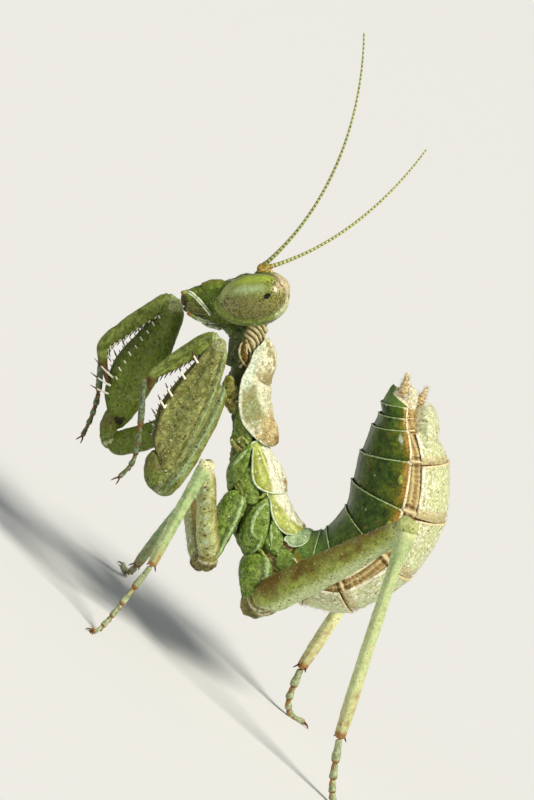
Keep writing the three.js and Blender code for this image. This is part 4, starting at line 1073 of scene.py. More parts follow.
for name, at in FORE_LEGS.items():
    sign = SIDES[name]
    outer = lambda a: sign * a  # 90 on the side away from the body, -90 on the inner side
    base, elbow = np.array(at["base"]), np.array(at["elbow"])
    femur_from, knee = np.array(at["femur"]), np.array(at["knee"])

    bow = np.array([at["bow"], 0.0, -0.05])
    coxa = Limb([base, base * 0.67 + elbow * 0.33 + bow, base * 0.33 + elbow * 0.67 + bow, elbow],
        [(0, 0.3, 0.24, 0.4), (0.12, 0.4, 0.36, 0.45), (0.5, 0.46, 0.47, 0.5), (0.8, 0.48, 0.56, 0.52),
            (0.93, 0.48, 0.52, 0.48), (1, 0.46, 0.5, 0.46)], [1, 0, 0.2], ends=(0.06, 0.09))
    # The coxa hangs down, so its outer side is the other way round.
    keels = lambda s, a, p: (
        0.05 * bell(outer(-a), 62, 8) - 0.04 * bell(outer(-a), 80, 9) + 0.05 * bell(outer(-a), 118, 8)
            + 0.02 * noise(p, 0.3, 101) + 0.012 * noise(p, 0.12, 102))
    coxa_part = coxa.part(
        110, 72, keels, ridge=lambda s, a, p: bell(outer(-a), 62, 9) * 0.55
        + 0.5 * bell(outer(-a), 118, 8) + 0.3 * ramp(outer(-a), 20, 60)
        + 0.3 * noise(p, 0.3, 100),
        inner=lambda s, a, p: ramp(outer(-a), -10, -70) * 0.9,
        # Painted shade in the groove between the two keels.
        groove=lambda s, a, p: 0.5 * bell(outer(-a), 84, 8))
    # The trochanter wraps the femur's foot like a cup.
    slim = 1.0 if name == "left" else 0.76
    towards = lambda a: -sign * a  # 90 on the side that faces the femur
    seam = lambda p: 0.22 + 0.08 * noise(p, 0.4, 109)
    cup = Limb(at["cup"],
        [(0, 0.36), (0.25, 0.46 * slim, 0.48), (0.5, 0.42 * slim, 0.42), (0.78, 0.3 * slim, 0.34),
            (1, 0.1, 0.2)], [0, sign, 0], ends=(0.16, 0.1))
    cup_part = cup.part(90, 64,
        lambda s, a, p: 0.035 * noise(p, 0.2, 102) + 0.02 * noise(p, 0.09, 108)
            - 0.03 * bell(s, seam(p), 0.025), inner=lambda s, a, p: 0.7 + 0.3 * noise(p, 0.3, 100),
        brown=lambda s, a, p: 0.5 * ramp(s, 0.3, 0.6) + 0.4 * noise(p, 0.25, 111),
        pale=lambda s, a, p: 0.8 * bell(s, 0.16, 0.09) * ramp(noise(p, 0.2, 110), -0.2, 0.3)
            + 0.7 * bell(towards(a), 90, 22) * ramp(s, 0.35, 0.55),
        # Painted shade in the seam and towards the end that wraps the femur's foot.
        groove=lambda s, a, p: 0.5 * bell(s, seam(p), 0.03) + 0.2 * ramp(s, 0.5, 0.9))
    piece("fore_coxa_" + name + "_shell", [coxa_part, cup_part], grasping_shell)

    # Half thickness, reach to the back and reach to the spiny edge along the femur.
    femur = Limb([femur_from, femur_from * 0.5 + knee * 0.5 + [0.05, 0, 0], knee],
        [(0, 0.18, 0.18, 0.22), (0.04, 0.26, 0.28, 0.3), (0.1, 0.34, 0.4, 0.6), (0.18, 0.4, 0.5, 0.99),
            (0.28, 0.44, 0.56, 1.18), (0.41, 0.45, 0.62, 1.3), (0.5, 0.43, 0.64, 1.25),
            (0.65, 0.38, 0.62, 1.02), (0.8, 0.34, 0.53, 0.74), (0.93, 0.34, 0.42, 0.52),
            (1, 0.27, 0.3, 0.34)], [1, 0, 0.2], ends=0.05)

    def blade(s, a, p):
        """Sharpens the spiny edge, raises the ridge near the back edge and roughens the face."""
        o = outer(a)
        thin = -0.24 * bell(abs(a), 122, 22) * ramp(s, 0.1, 0.3) * ramp(s, 0.98, 0.75)
        ledge = 0.05 * bell(o, 148, 5) - 0.05 * bell(o, 158, 5)
        back_ridge = 0.05 * bell(o, 40, 6) - 0.05 * bell(o, 54, 7)
        ridges = (ledge + back_ridge) * ramp(s, 0.04, 0.15) * ramp(s, 0.97, 0.85)
        return thin + ridges + 0.025 * noise(p, 0.4, 103) + 0.012 * noise(p, 0.13, 104)

    black = femur.at(0.085, -88 * sign)[0]
    streaks = lambda p: noise(p * [3.0, 1.0, 0.6], 0.9, 105)
    femur_part = femur.part(
        190, 110, blade,
        ridge=lambda s, a, p: 0.7 * bell(outer(a), 40, 6) * ramp(s, 0.03, 0.2),
        # Painted shade in the hollows beside the back ridge and beside the ledge near the spiny edge.
        groove=lambda s, a, p: 0.55 * bell(outer(a), 56, 6) * ramp(s, 0.05, 0.15)
        + 0.45 * bell(outer(a), 158, 5) * ramp(s, 0.1, 0.3) * ramp(s, 0.95, 0.8),
        ventral=lambda s, a, p: ramp(abs(a) + 4 * noise(p, 0.3, 107), 138, 152),
        brown=lambda s, a, p: (0.12 + 0.5 * noise(p * [1.6, 1.0, 0.7], 0.14, 108)
                               + 0.25 * ramp(s, 0.35, 0.1) + 0.3 * ramp(outer(a), 118, 140))
        * ramp(outer(a), 20, 60),
        streak=lambda s, a, p: (0.35 * ramp(streaks(p), -0.1, 0.6) + 0.3 * noise(p, 0.15, 109))
        * ramp(outer(a), 30, 60),
        inner=lambda s, a, p: 0.85 * ramp(outer(a), 10, -40),
        spot=lambda s, a, p: ramp(np.linalg.norm(p - black, axis=-1) + 0.1 * noise(p, 0.14, 99),
                                  0.28, 0.08) * 1.3,
        outside=lambda s, a, p: ramp(outer(a), 10, 60),
        pale=lambda s, a, p: 0.5 * ramp(s, 0.93, 0.975))
    # The knee's two side lobes.
    lobes = []
    for turn in (-1, 1):
        spot = knee + [-0.08, 0.2 * turn, -0.05]
        lobes.append(Limb([spot + [0.12, 0, -0.3], spot, spot + [-0.12, 0, 0.2]],
                          [(0, 0.2, 0.12), (0.5, 0.3, 0.16), (1, 0.2, 0.1)],
                          [0, turn, 0], ends=(0.3, 0.35)).part(34, 24, pale=0.42))
    piece("fore_femur_" + name + "_shell", [femur_part, *lobes], grasping_shell)

    forward, off = unit(knee - femur_from), np.array([-1.0, 0.0, -0.2])
    spines, teeth = [], []
    for share, long in ((0.43, 0.56), (0.53, 0.54), (0.68, 0.52), (0.82, 0.48)):
        root, _ = femur.at(share, 146 * sign)
        spines.append(thorn(root, off + forward * 0.7 + [0, 0.12 * sign, 0], long, 0.048, forward * 0.06))
    for number in range(9):
        root, _ = femur.at(0.34 + 0.066 * number, -132 * sign)
        spines.append(thorn(root, off * 0.8 + forward * 0.6 + [0, -0.5 * sign, 0],
                            0.32 if number % 2 else 0.22, 0.036, forward * 0.03))
    for share, long, rise in ((0.33, 1.05, 0.35), (0.27, 0.95, 0.1), (0.21, 0.8, -0.05)):
        root, _ = femur.at(share, -146 * sign)
        spines.append(thorn(root, off + forward * rise + [0, -0.15 * sign, 0], long * at["hooks"],
                            0.045, forward * 0.08))
    dark_tip(spines, 0.5)
    for share in np.linspace(0.3, 0.86, 15):
        root, _ = femur.at(share, 166 * sign)
        teeth.append(thorn(root, off + forward * 0.3 + [0, 0.25 * sign, 0], 0.13, 0.028, forward * 0.05))

    shin_path = [knee + [-0.12, 0, 0.12], *at["tibia"], at["claw"]]
    shin = Limb(shin_path,
        [(0, 0.24, 0.22, 0.2), (0.08, 0.3, 0.32, 0.34), (0.2, 0.28, 0.32, 0.38), (0.5, 0.25, 0.28, 0.36),
            (0.72, 0.2, 0.24, 0.26), (0.82, 0.15, 0.18, 0.17), (0.92, 0.09, 0.1), (1, 0.02)],
        [-1, 0, 0.3], ends=(0.05, 0.01))
    wrinkle = lambda s, a, p: (
        0.02 * np.sin(s * 190) * ramp(s, 0.16, 0.06) + 0.02 * noise(p, 0.3, 106)
            - 0.05 * bell(outer(a), 100, 9) * ramp(s, 0.1, 0.2) * ramp(s, 0.8, 0.7))
    shin_part = shin.part(
        150, 48, wrinkle, edge=lambda s, a, p: ramp(abs(a), 148, 170) * ramp(s, 0.08, 0.2) * 0.8,
        pale=lambda s, a, p: 0.75 * ramp(s, 0.09, 0.03) + 0.3 * bell(outer(a), 60, 14),
        claw=lambda s, a, p: ramp(s, 0.76, 0.86),
        # Painted shade in the channel that runs along the shin's outer face.
        groove=lambda s, a, p: 0.4 * bell(outer(a), 100, 8) * ramp(s, 0.1, 0.2)
        * ramp(s, 0.8, 0.7))
    piece("fore_tibia_" + name + "_shell", [shin_part], shin_shell)
    for number in range(12):
        share = 0.16 + 0.055 * number
        here, there = follow(shin_path, [share, share + 0.02])
        ahead = unit(there - here)
        root, normal = shin.at(share, 163 * sign)
        teeth.append(thorn(root, normal * 0.6 + ahead * 1.1, 0.11, 0.028, ahead * 0.03))
        root, normal = shin.at(share, -150 * sign)
        made = thorn(root, normal * 0.8 + ahead * 1.0, 0.18 + 0.16 * share, 0.036, ahead * 0.04)
        spines.append(*dark_tip([made], 0.4))
    piece("fore_leg_hairs_" + name,
          [coat(coxa, 50, 0.06, 220, (0, 3)), coat(femur, 60, 0.05, 221, (1, 3), (0.2, 0.95)),
           coat(shin, 60, 0.06, 222, (2, 3), (0.05, 0.75))],
          pale_hair, ["fore_femur_" + name])
    piece("fore_spines_" + name, spines, spine_shell, ["fore_femur_" + name])
    piece("fore_teeth_" + name, teeth, tooth_shell, ["fore_tibia_" + name])

    piece("fore_foot_" + name,
          foot_parts([at["wrist"], *at["foot"]], 0.145, (-0.3, 0.0, -0.8), (0.48, 0.62, 0.74, 0.85, 1.0)),
          fore_foot_shell, ["fore_tarsus_" + name])

# ------ walking legs
# Four slender legs: coxa, trochanter, ridged femur, tibia and a five-jointed foot that stands
# on the floor with its lobes and claws. Olive and freckled above, paler towards the feet.

FOOT_HEIGHT = 0.12
WALKING_LEGS = {
    "mid_left": {
        "base": [-1.75, -0.85, 7.2], "trochanter": [-1.07, -1.7, 4.36], "knee": [-3.38, -3.9, 7.79],
        "ankle": [-2.8, -4.5, 3.32], "heel": [-2.92, -5.1, 0.6], "toe": [-3.2, -5.9, FOOT_HEIGHT],
    },
    "mid_right": {
        "base": [-1.65, 0.8, 6.7], "trochanter": [-1.31, 1.7, 3.56], "knee": [-3.1, 5.5, 4.72],
        "ankle": [-3.3, 7.3, 0.8], "heel": [-3.35, 8.1, 0.32], "toe": [-3.8, 9.4, FOOT_HEIGHT],
    },
    "hind_left": {
        "base": [0.32, -0.95, 5.61], "trochanter": [1.4, -1.8, 4.02], "knee": [4.45, -4.9, 10.68],
        "ankle": [7.2, -5.0, 2.23], "heel": [8.15, -5.25, 0.5], "toe": [9.15, -5.8, FOOT_HEIGHT],
    },
    "hind_right": {
        "base": [0.32, 0.95, 5.32], "trochanter": [1.37, 1.8, 3.52], "knee": [4.22, 4.3, 10.6],
        "ankle": [4.62, 4.2, 1.89], "heel": [5.05, 4.25, 0.45], "toe": [6.05, 4.6, FOOT_HEIGHT],
    },
}
# Rows of [share of the length, half height, reach outwards, reach inwards].
COXA_SIZES = {
    "mid": [(0, 0.36, 0.3), (0.2, 0.5, 0.42, 0.4), (0.6, 0.46, 0.38), (1, 0.3, 0.28)],
    "hind": [(0, 0.4, 0.3), (0.25, 0.66, 0.5), (0.6, 0.62, 0.5, 0.48), (1, 0.42, 0.36)],
}
CUP_SIZES = {
    "mid": [(0, 0.285, 0.266), (0.4, 0.38, 0.342), (1, 0.323, 0.285)],
    "hind": [(0, 0.42, 0.36), (0.4, 0.52, 0.42), (1, 0.5, 0.4)],
}
FEMUR_SIZES = {
    "mid": [(0, 0.26, 0.24), (0.08, 0.36, 0.32), (0.5, 0.37, 0.33), (0.9, 0.33, 0.3), (1, 0.26)],
    "hind": [(0, 0.36, 0.32), (0.07, 0.6, 0.5), (0.25, 0.68, 0.56), (0.55, 0.62, 0.5), (0.82, 0.48, 0.4),
             (0.93, 0.42, 0.38), (1, 0.3)],
}
SHIN_SIZES = {
    "mid": [(0, 0.24, 0.22), (0.06, 0.28, 0.26), (0.15, 0.25, 0.22), (0.6, 0.22, 0.2), (0.92, 0.18, 0.17),
            (1, 0.15, 0.14)],
    "hind": [(0, 0.34, 0.33), (0.05, 0.4, 0.37), (0.13, 0.3, 0.28), (0.5, 0.24, 0.23), (0.93, 0.23, 0.22),
             (1, 0.2, 0.19)],
}

# Granular cuticle at the root of a leg: deep green and rough.
leg_base_shell = cuticle("granular_green_leg_base", ("#46600c", "#87a044", 0.25),
    marks=[("ridge", "#a9c48c", 0.5, 0.7), ("under", "#8a7644", 0.5, 1.2), ("pale", "#dfe0bc", 0.5, 0.7)],
    specks=[(0.09, 0.028, 0.6, "#455c12"), (0.14, 0.03, 0.2, "#c9d794"), (0.3, 0.04, 0.2, "#6b4a1a")],
    rough=0.42, relief=1.1, contrast=0.5, glow=0.1)
# Pale olive cuticle with rusty dots in a row and milky green between.
mid_thigh_shell = cuticle("spotted_mid_thigh", ("#94994a", "#c9cf92", 0.3),
    marks=[("teal", "#b3c8a2", 0.6, 0.9), ("spot", "#5a3314", 0.4, 0.6), ("under", "#8a7434", 0.5, 0.8),
        ("pale", "#dfdfae", 0.5, 0.7)],
    specks=[(0.1, 0.03, 0.5, "#6f5522"), (0.24, 0.045, 0.35, "#7a4c20"), (0.6, 0.06, 0.3, "#fdfff2")],
    rough=0.42, relief=0.8, contrast=0.3, glow=0.15)
# Olive cuticle that turns pale green below in one soft change.
hind_thigh_shell = cuticle("banded_hind_thigh", ("#7a8826", "#a8b652", 0.35),
    marks=[("above", "#77660f", 0.8, 1.2), ("under", "#cbd9a0", 0.7, 1.0), ("spot", "#6b5014", 0.6, 1.2),
        ("pale", "#b9c27c", 0.5, 0.8)],
    specks=[(0.16, 0.04, 0.4, "#6a5220"), (0.1, 0.025, 0.4, "#8d8a45"), (0.3, 0.03, 0.3, "#e9e8c8")],
    rough=0.48, relief=0.9, glow=0.15)
# Thin smooth cuticle: milky green, and light goes some way in.
walking_shin_shell = cuticle("pale_green_walking_shin", ("#7fa463", "#aecb8c", 0.4),
    marks=[("cream", "#dfe3aa", 0.6, 0.7), ("spot", "#a58a54", 0.7, 1.0), ("end", "#9a713c", 0.5, 0.8)],
    specks=[(0.2, 0.035, 0.3, "#a07a3c"), (0.12, 0.02, 0.3, "#7c9a5c")], rough=0.42, relief=0.7,
    contrast=0.22, glow=0.2)
# The same on the feet, greyer, with brown joints.
walking_foot_shell = cuticle(
    "pale_walking_foot", ("#7f8c62", "#b4bf96", 0.15),
    marks=[("joint", "#8f6230", 0.6, 1.2), ("claw", "#6a4420", 0.3, 0.2)],
    specks=[(0.1, 0.02, 0.35, "#7a5428")], rough=0.42, relief=0.6, contrast=0.3, glow=0.2)

for name, at in WALKING_LEGS.items():
    kind, flank = name.split("_")
    sign = SIDES[flank]
    called = lambda what: kind + "_" + what + "_" + flank
    out = np.array([0.0, sign, 0.0])
    base, hip, knee = (np.array(at[key]) for key in ("base", "trochanter", "knee"))
    ankle, heel, toe = (np.array(at[key]) for key in ("ankle", "heel", "toe"))
    above = lambda a: sign * a  # 90 on the upper side of the thigh, 0 on its outer face

    coxa = Limb([base, base * 0.5 + hip * 0.5 + out * 0.1, hip], COXA_SIZES[kind], out, ends=0.12)
    coxa_part = coxa.part(
        80, 56, lambda s, a, p: 0.05 * bell(above(a), 48, 9) * ramp(s, 0.02, 0.2)
        - 0.04 * bell(above(a), 26, 9) + 0.02 * noise(p, 0.2, 110)
        + 0.01 * noise(p, 0.07, 111),
        ridge=lambda s, a, p: bell(above(a), 50, 12),
        # Painted shade in the groove beside the ridge.
        groove=lambda s, a, p: 0.45 * bell(above(a), 27, 7))
    turn = unit(knee - hip)
    drop = unit(hip - base)
    cup = Limb([hip - drop * 0.3, hip + drop * 0.12, hip + turn * 0.45], CUP_SIZES[kind], out, ends=0.25)
    parts = [coxa_part, cup.part(
        50, 44, lambda s, a, p: 0.02 * noise(p, 0.15, 112) - 0.04 * bell(s, 0.5, 0.05),
        under=0.75, pale=lambda s, a, p: 0.6 * bell(s, 0.62, 0.06),
        # Painted shade in the seam across its middle.
        groove=lambda s, a, p: 0.6 * bell(s, 0.5, 0.04))]
    if kind == "hind":
        # Under the thigh the trochanter runs on as a beige, lengthwise folded heel.
        below = unit(np.cross(turn, out) * sign)
        below = below * (1 if below[2] < 0 else -1)
        sleeve = Limb(
            [hip - drop * 0.1, hip + turn * 0.4 + below * 0.2, hip + turn * 1.0 + below * 0.34,
                hip + turn * 1.8 + below * 0.42],
            [(0, 0.36, 0.38), (0.3, 0.44), (0.65, 0.3, 0.36), (1, 0.08, 0.1)], out, ends=(0.2, 0.15))
        parts.append(sleeve.part(
            90, 60, lambda s, a, p: 0.03 * noise(p, 0.2, 119) + 0.02 * np.cos(np.radians(a) * 14),
            under=lambda s, a, p: 0.85 + 0.4 * noise(p, 0.15, 121),
            pale=lambda s, a, p: 0.45 + 0.35 * np.cos(np.radians(a) * 14),
            groove=lambda s, a, p: 0.25 * ramp(noise(p, 0.2, 123), 0.1, 0.6)))
    piece(called("coxa") + "_shell", parts, leg_base_shell)

    thigh_path = [hip + turn * 0.05, hip * 0.5 + knee * 0.5 + [0.0, 0, -0.06], knee]
    thigh = Limb(thigh_path, FEMUR_SIZES[kind], out, ends=(0.04, 0.05))
    ridges = lambda s, a, p: (0.035 * np.maximum(0, np.cos(np.radians(4 * a + 40))) ** 4
                              * ramp(s, 0.03, 0.15) * ramp(s, 0.97, 0.85)
                              + 0.02 * noise(p, 0.35, 113) + 0.01 * noise(p, 0.1, 114))
    spots = lambda s, a, p: sum(
        bell(s, spot, 0.013) * bell(above(a) + 60 * (spot - 0.5) ** 2, 8, 12)
        for spot in (0.1, 0.18, 0.32, 0.42, 0.59, 0.7, 0.82)) + 0.15 * noise(p, 0.1, 122)
    between = lambda s, a, p: 0.75 * sum(
        bell(s, spot, 0.034) * bell(above(a), 4, 24)
        for spot in (0.25, 0.37, 0.5, 0.65, 0.78)) + 0.2 * noise(p, 0.15, 124)
    if kind == "mid":
        thigh_part = thigh.part(
            150, 56, ridges, spot=spots, teal=between,
            under=lambda s, a, p: 0.7 * ramp(above(a), -40, -80) + 0.8 * ramp(s, 0.1, 0.04),
            pale=lambda s, a, p: ramp(s, 0.88, 0.96) * 0.9)
        finish = mid_thigh_shell
    else:
        blotch = lambda s, a, p: 0.9 * ramp(noise(p, 0.6, 115), -0.1, 0.5) * ramp(above(a), -25, 30)
        thigh_part = thigh.part(
            170, 64, ridges, above=lambda s, a, p: ramp(above(a), -5, 65), spot=blotch,
            under=lambda s, a, p: ramp(above(a), 0, -45) + 0.5 * ramp(s, 0.06, 0.02),
            pale=lambda s, a, p: ramp(s, 0.86, 0.96) * 0.8)
        finish = hind_thigh_shell
    knee_size = 1.0 if kind == "mid" else 1.36
    knob = Limb([knee - turn * 0.35, knee, knee + unit(ankle - knee) * 0.28],
        [(0, 0.26 * knee_size, 0.24 * knee_size), (0.5, 0.33 * knee_size, 0.3 * knee_size),
            (1, 0.2 * knee_size)], out, ends=0.3)
    piece(called("femur") + "_shell",
          [thigh_part, knob.part(40, 36, lambda s, a, p: 0.02 * noise(p, 0.2, 116), pale=0.8)],
          finish)

    shin = Limb([knee, knee * 0.5 + ankle * 0.5 + [-0.04, 0, 0.02], ankle], SHIN_SIZES[kind], out,
        ends=(0.03, 0.02))
    pale_shin = 0.85 if name == "hind_right" else 0.1 if kind == "mid" else 0.4
    shin_part = shin.part(
        150, 36, lambda s, a, p: 0.02 * np.cos(np.radians(4 * a)) + 0.012 * noise(p, 0.25, 117),
        cream=lambda s, a, p: pale_shin + 0.3 * ramp(s, 0.0, 1.0) + 0.3 * ramp(s, 0.08, 0.02),
        spot=lambda s, a, p: 0.6 * ramp(noise(p, 0.28, 118), 0.0, 0.8) * ramp(s, 0.4, 0.8),
        end=lambda s, a, p: ramp(s, 0.95, 0.99) + 0.35 * ramp(s, 0.7, 0.9))
    spurs = []
    for way in (-1, 1):
        root, normal = shin.at(0.985, 120 * way)
        spurs.append(thorn(root, normal * 0.6 + unit(ankle - knee) * 0.8, 0.26 if way < 0 else 0.14, 0.04))
    piece(called("tibia") + "_shell", [shin_part], walking_shin_shell)
    piece(called("spurs"), spurs, tooth_shell, [called("tibia")])

    piece(called("leg_hairs"),
          [coat(coxa, 180, 0.07, 230, (0, 4)), coat(cup, 120, 0.08, 231, (1, 4), (0.1, 0.9)),
           coat(thigh, 420, 0.08, 232, (2, 4)), coat(shin, 320, 0.09, 233, (3, 4))],
          pale_hair, [called("femur")])

    sole = heel * 0.6 + toe * 0.4
    sole[2] = FOOT_HEIGHT
    piece(called("foot"),
        foot_parts([ankle, heel, sole, toe], 0.155 if kind == "mid" else 0.19, (0, 0, -0.6)),
        walking_foot_shell, [called("tarsus")])

# ------ head
# The head capsule: a wide triangle seen from the front, with a cheek that follows each eye as
# a yellow-green band, a raised brow behind the feelers and a green face. One closed shell of
# polished cuticle, made of rounded masses that run into each other.

HEAD_CENTRE = np.array([-5.82, 0.0, 13.81])
FACE_SLOPE, HEAD_TURN, HEAD_TILT = (math.radians(d) for d in (41.7, 4.8, 2.7))
down_face = np.array([-math.cos(FACE_SLOPE), 0, -math.sin(FACE_SLOPE)])
to_right = np.array([0.0, 1.0, 0.0])
HEAD = np.stack([np.cross(to_right, down_face), to_right, down_face], -1)
HEAD = HEAD @ np.array(Matrix.Rotation(HEAD_TURN, 3, "Z")) @ np.array(Matrix.Rotation(HEAD_TILT, 3, "X"))


def on_head(points):
    """Points given as [out of the face, to the right, down the face] from the head's centre."""
    return HEAD_CENTRE + np.asarray(points, float) @ HEAD.T


EYE_LEAN = math.radians(18)
EYE_HALF = (0.93, 0.76, 1.4)
EYE_BLUNT, EYE_FINE = 3.1, 1.5  # how square the eye's outline is at the crown and at the mouth
EYE_SIDE = 1.42

# Rounded masses of the capsule: centre, half sizes, lean to the side in degrees.
MASSES = [
    ((-0.12, 0.0, 0.05), (0.92, 1.2, 1.1), 0),
    ((0.16, 0.0, 0.75), (0.6, 0.8, 0.85), 0),
    ((-0.3, 0.0, 0.8), (0.6, 0.66, 0.8), 0),
    ((0.2, 0.0, -0.62), (0.66, 1.1, 0.84), 0),
    ((0.72, 0.32, -0.35), (0.3, 0.24, 0.26), 0),
    ((0.72, -0.32, -0.35), (0.3, 0.24, 0.26), 0),
    ((0.58, 0.0, 0.24), (0.34, 0.42, 0.46), 0),
    ((-0.26, 1.16, 0.14), (0.93, 0.66, 1.5), 18),
    ((-0.26, -1.16, 0.14), (0.93, 0.66, 1.5), -18),
    ((-0.75, 0.0, -0.35), (0.4, 0.9, 0.6), 0),
]

MELT = 0.055  # how softly the masses run into each other


def mass_field(p):
    """Below zero inside the masses, with smooth hollows where two meet."""
    total = 0.0
    for centre, half, lean in MASSES:
        q = p - np.array(centre)
        c, s = math.cos(math.radians(lean)), math.sin(math.radians(lean))
        q = np.stack([q[..., 0], q[..., 1] * c + q[..., 2] * s, q[..., 2] * c - q[..., 1] * s], -1)
        # Like the eyes, the cheeks are blunt at the crown and fine towards the mouth.
        power = np.where(q[..., 2] < 0, 2.55, 1.45) if lean else 2.0
        size = (q[..., 0] / half[0]) ** 2 + (q[..., 1] / half[1]) ** 2
        size = size + abs(q[..., 2] / half[2]) ** power
        distance = (np.sqrt(size) - 1) * min(half)
        total = total + np.exp(-distance / MELT)
    return -MELT * np.log(total)


tilt, spin = np.meshgrid(np.linspace(0.02, np.pi - 0.02, 170), np.arange(240) * 2 * np.pi / 240,
    indexing="ij")
rays = np.stack([np.sin(tilt) * np.cos(spin), np.cos(tilt), np.sin(tilt) * np.sin(spin)], -1)
# Each ray steps in from outside the head until it meets the masses.
reach = np.full(tilt.shape, 2.6)
for step in range(60):
    reach = np.maximum(reach - 0.6 * mass_field(rays * reach[..., None]), 0.05)
local = rays * reach[..., None]
f, y, d = local[..., 0], local[..., 1], local[..., 2]
cheek = ramp(abs(y), 0.75, 1.0)
eye_ring = np.sqrt((f / 0.9) ** 2 + abs(d / 1.4) ** np.where(d < 0, 2.5, 1.6))
bands = 0.5 + 0.5 * np.cos(eye_ring * 22 + 0.9 * noise(local, 0.5, 120))
lumps = 0.02 * noise(local, 0.3, 121) + 0.012 * noise(local, 0.1, 122) + 0.012 * cheek * bands
local = local + rays * lumps[..., None]
# Polished hard cuticle: yellow-green, with bands that follow the eyes; its rear mark is a whitish
# painted highlight and its under mark a near-black painted shadow.
head_shell = cuticle("green_head_capsule", ("#4c5c10", "#83953c", 0.25),
    marks=[("band", "#8f9c48", 0.8, 1.4), ("rear", "#c6d09e", 0.6, 1.2), ("face", "#586a16", 0.6, 1.0),
        ("under", "#2c3a0c", 0.4, 0.4), ("crown", "#d6c69c", 0.5, 0.5), ("bump", "#b58a34", 0.35, 0.5)],
    specks=[(0.09, 0.025, 0.45, "#4d5c12"), (0.3, 0.03, 0.3, "#f6fbe4"), (0.2, 0.03, 0.25, "#a0702c"),
        (0.1, 0.022, 0.4, "#b4c078")], rough=0.36, relief=0.9, contrast=0.4, glow=0.15)
local_skin = local
capsule = tube(on_head(local), band=cheek * bands * 0.7 + 0.15,
    # A whitish painted highlight on the rear of each cheek.
    rear=cheek * ramp(d, -0.6, -1.1) * ramp(f, 0.0, -0.4) * 0.9,
    crown=ramp(d, -0.6, -1.05) * ramp(f, -0.65, -0.15) * 0.8, face=(1 - cheek) * ramp(f, 0.1, 0.4),
    # Near-black painted shadow over the back of the capsule, towards the neck.
    under=ramp(f, -0.85, -1.15) * (1 - cheek) + (1 - cheek) * ramp(f, -0.3, -0.7),
    bump=0.5 * bell(np.linalg.norm(local - [1.0, 0, 0.15], axis=-1), 0, 0.2),
    # A thin line of painted shade round each eye on the cheek.
    groove=0.35 * bell(eye_ring, 1.2, 0.03) * cheek * ramp(f, 0.0, -0.2))
piece("head_capsule", [capsule], head_shell, ["head"])

# ------ eyes
# Two large smooth domes, yellow-green above, with a pale strip, and thick with brown specks
# in curved rows below and behind, and a black false pupil on each.


def eye_half(z):
    """How the eye narrows from its middle to its ends: blunt at the crown, fine at the mouth."""
    t = np.clip(abs(z) / EYE_HALF[2], 0, 1)
    power = np.where(z < 0, EYE_BLUNT, EYE_FINE)
    return np.sqrt(np.clip(1 - t ** power, 0, 1))


def eye_point(z, a, sign):
    """A point on an eye: z down the face, a round it from straight out of the face."""
    width = eye_half(z)
    x = EYE_HALF[0] * width * np.cos(a) - 0.05 + 0.12 * (1 - ramp(z, -1.3, 0.0)) * width
    y = EYE_HALF[1] * width * np.sin(a)
    c, s = math.cos(EYE_LEAN), math.sin(EYE_LEAN)
    return np.stack([x, sign * (EYE_SIDE + y * c - z * s), y * s + z * c], -1)


# A clear smooth skin over speckled cells: an even gloss with a fine grain.
# The edge mark is a dark line of painted shade round the rim.
eye_shell = cuticle("speckled_compound_eye", ("#838e34", "#9aa84e", 0.4),
    marks=[("low", "#85803e", 0.6, 0.3), ("crown", "#cdb592", 0.6, 0.7), ("strip", "#b9cf98", 0.7, 0.4),
        ("top", "#a5b748", 0.5, 0.3), ("line", "#6f8426", 0.5, 0.3), ("edge", "#4c4a1c", 0.4, 0.1),
        ("pupil", "#050402", 0.2, 0.2)],
    specks=[(0.048, 0.02, 0.85, "#33240a", "speckled"), (0.034, 0.012, 0.7, "#463a12", "speckled"),
        (0.1, 0.03, 0.5, "#f4ecd8", "crown")], flow=("ring", "turn"), rough=0.32, relief=0.35, grain=0.03,
    contrast=0.2, glow=0.1, coat=0.2)
for name, sign in SIDES.items():
    z, a = np.meshgrid(np.sin(np.linspace(-1, 1, 150) * np.pi / 2) * EYE_HALF[2] * 0.9999,
        np.arange(160) * 2 * np.pi / 160, indexing="ij")
    local = eye_point(z, a, sign)
    f, d = local[..., 0], local[..., 2] - 0.02
    ring = abs(d / EYE_HALF[2]) ** np.where(d < 0, EYE_BLUNT, EYE_FINE)
    ring = np.sqrt(((f + 0.05) / EYE_HALF[0]) ** 2 + ring)
    speckled = np.maximum(ramp(f, 0.5, -0.1), ramp(d, -0.3, -0.9)) * ramp(ring, 1.02, 0.95)
    speckled = speckled * ramp(f, 0.72, 0.55)
    pupil = np.sqrt(((d + 0.65) / 0.155) ** 2 + ((f + 0.03 + 0.25 * (d + 0.65)) / 0.125) ** 2)
    pupil = pupil + 0.25 * noise(local, 0.12, 125)
    facing = ramp(np.sin(a), -0.2, 0.2)
    piece("eye_" + name + "_dome", [tube(
        on_head(local), low=ramp(f, 0.35, -0.3) * 0.8,
        crown=ramp(d, -0.7, -1.25) * ramp(f, -0.1, 0.3) * 0.85,
        strip=bell(f + 0.1 * d ** 2, 0.3, 0.16) * ramp(d, 1.0, 0.4) * ramp(d, -0.9, -0.3) * 0.75,
        line=bell(ring, 0.93, 0.02) * ramp(f, 0.1, 0.4) * 0.7,
        # A dark line of painted shade round the rim, where the eye meets the cheek.
        top=ramp(f, 0.45, 0.65) * ramp(ring, 1.0, 0.9), edge=ramp(ring, 0.965, 1.0) * facing * 0.7,
        pupil=ramp(pupil, 1.1, 0.8) * facing, speckled=speckled,
        ring=ring * 1.1 + 0 * a, turn=np.arctan2(f, d) * 0.45)],
        eye_shell, ["eye_" + name])

# ------ mouthparts
# The face plate and upper lip, green with a brown tip, the mandibles and brown jaw lobes
# under it, the pale lower lip, and the jointed palps, striped white and green.


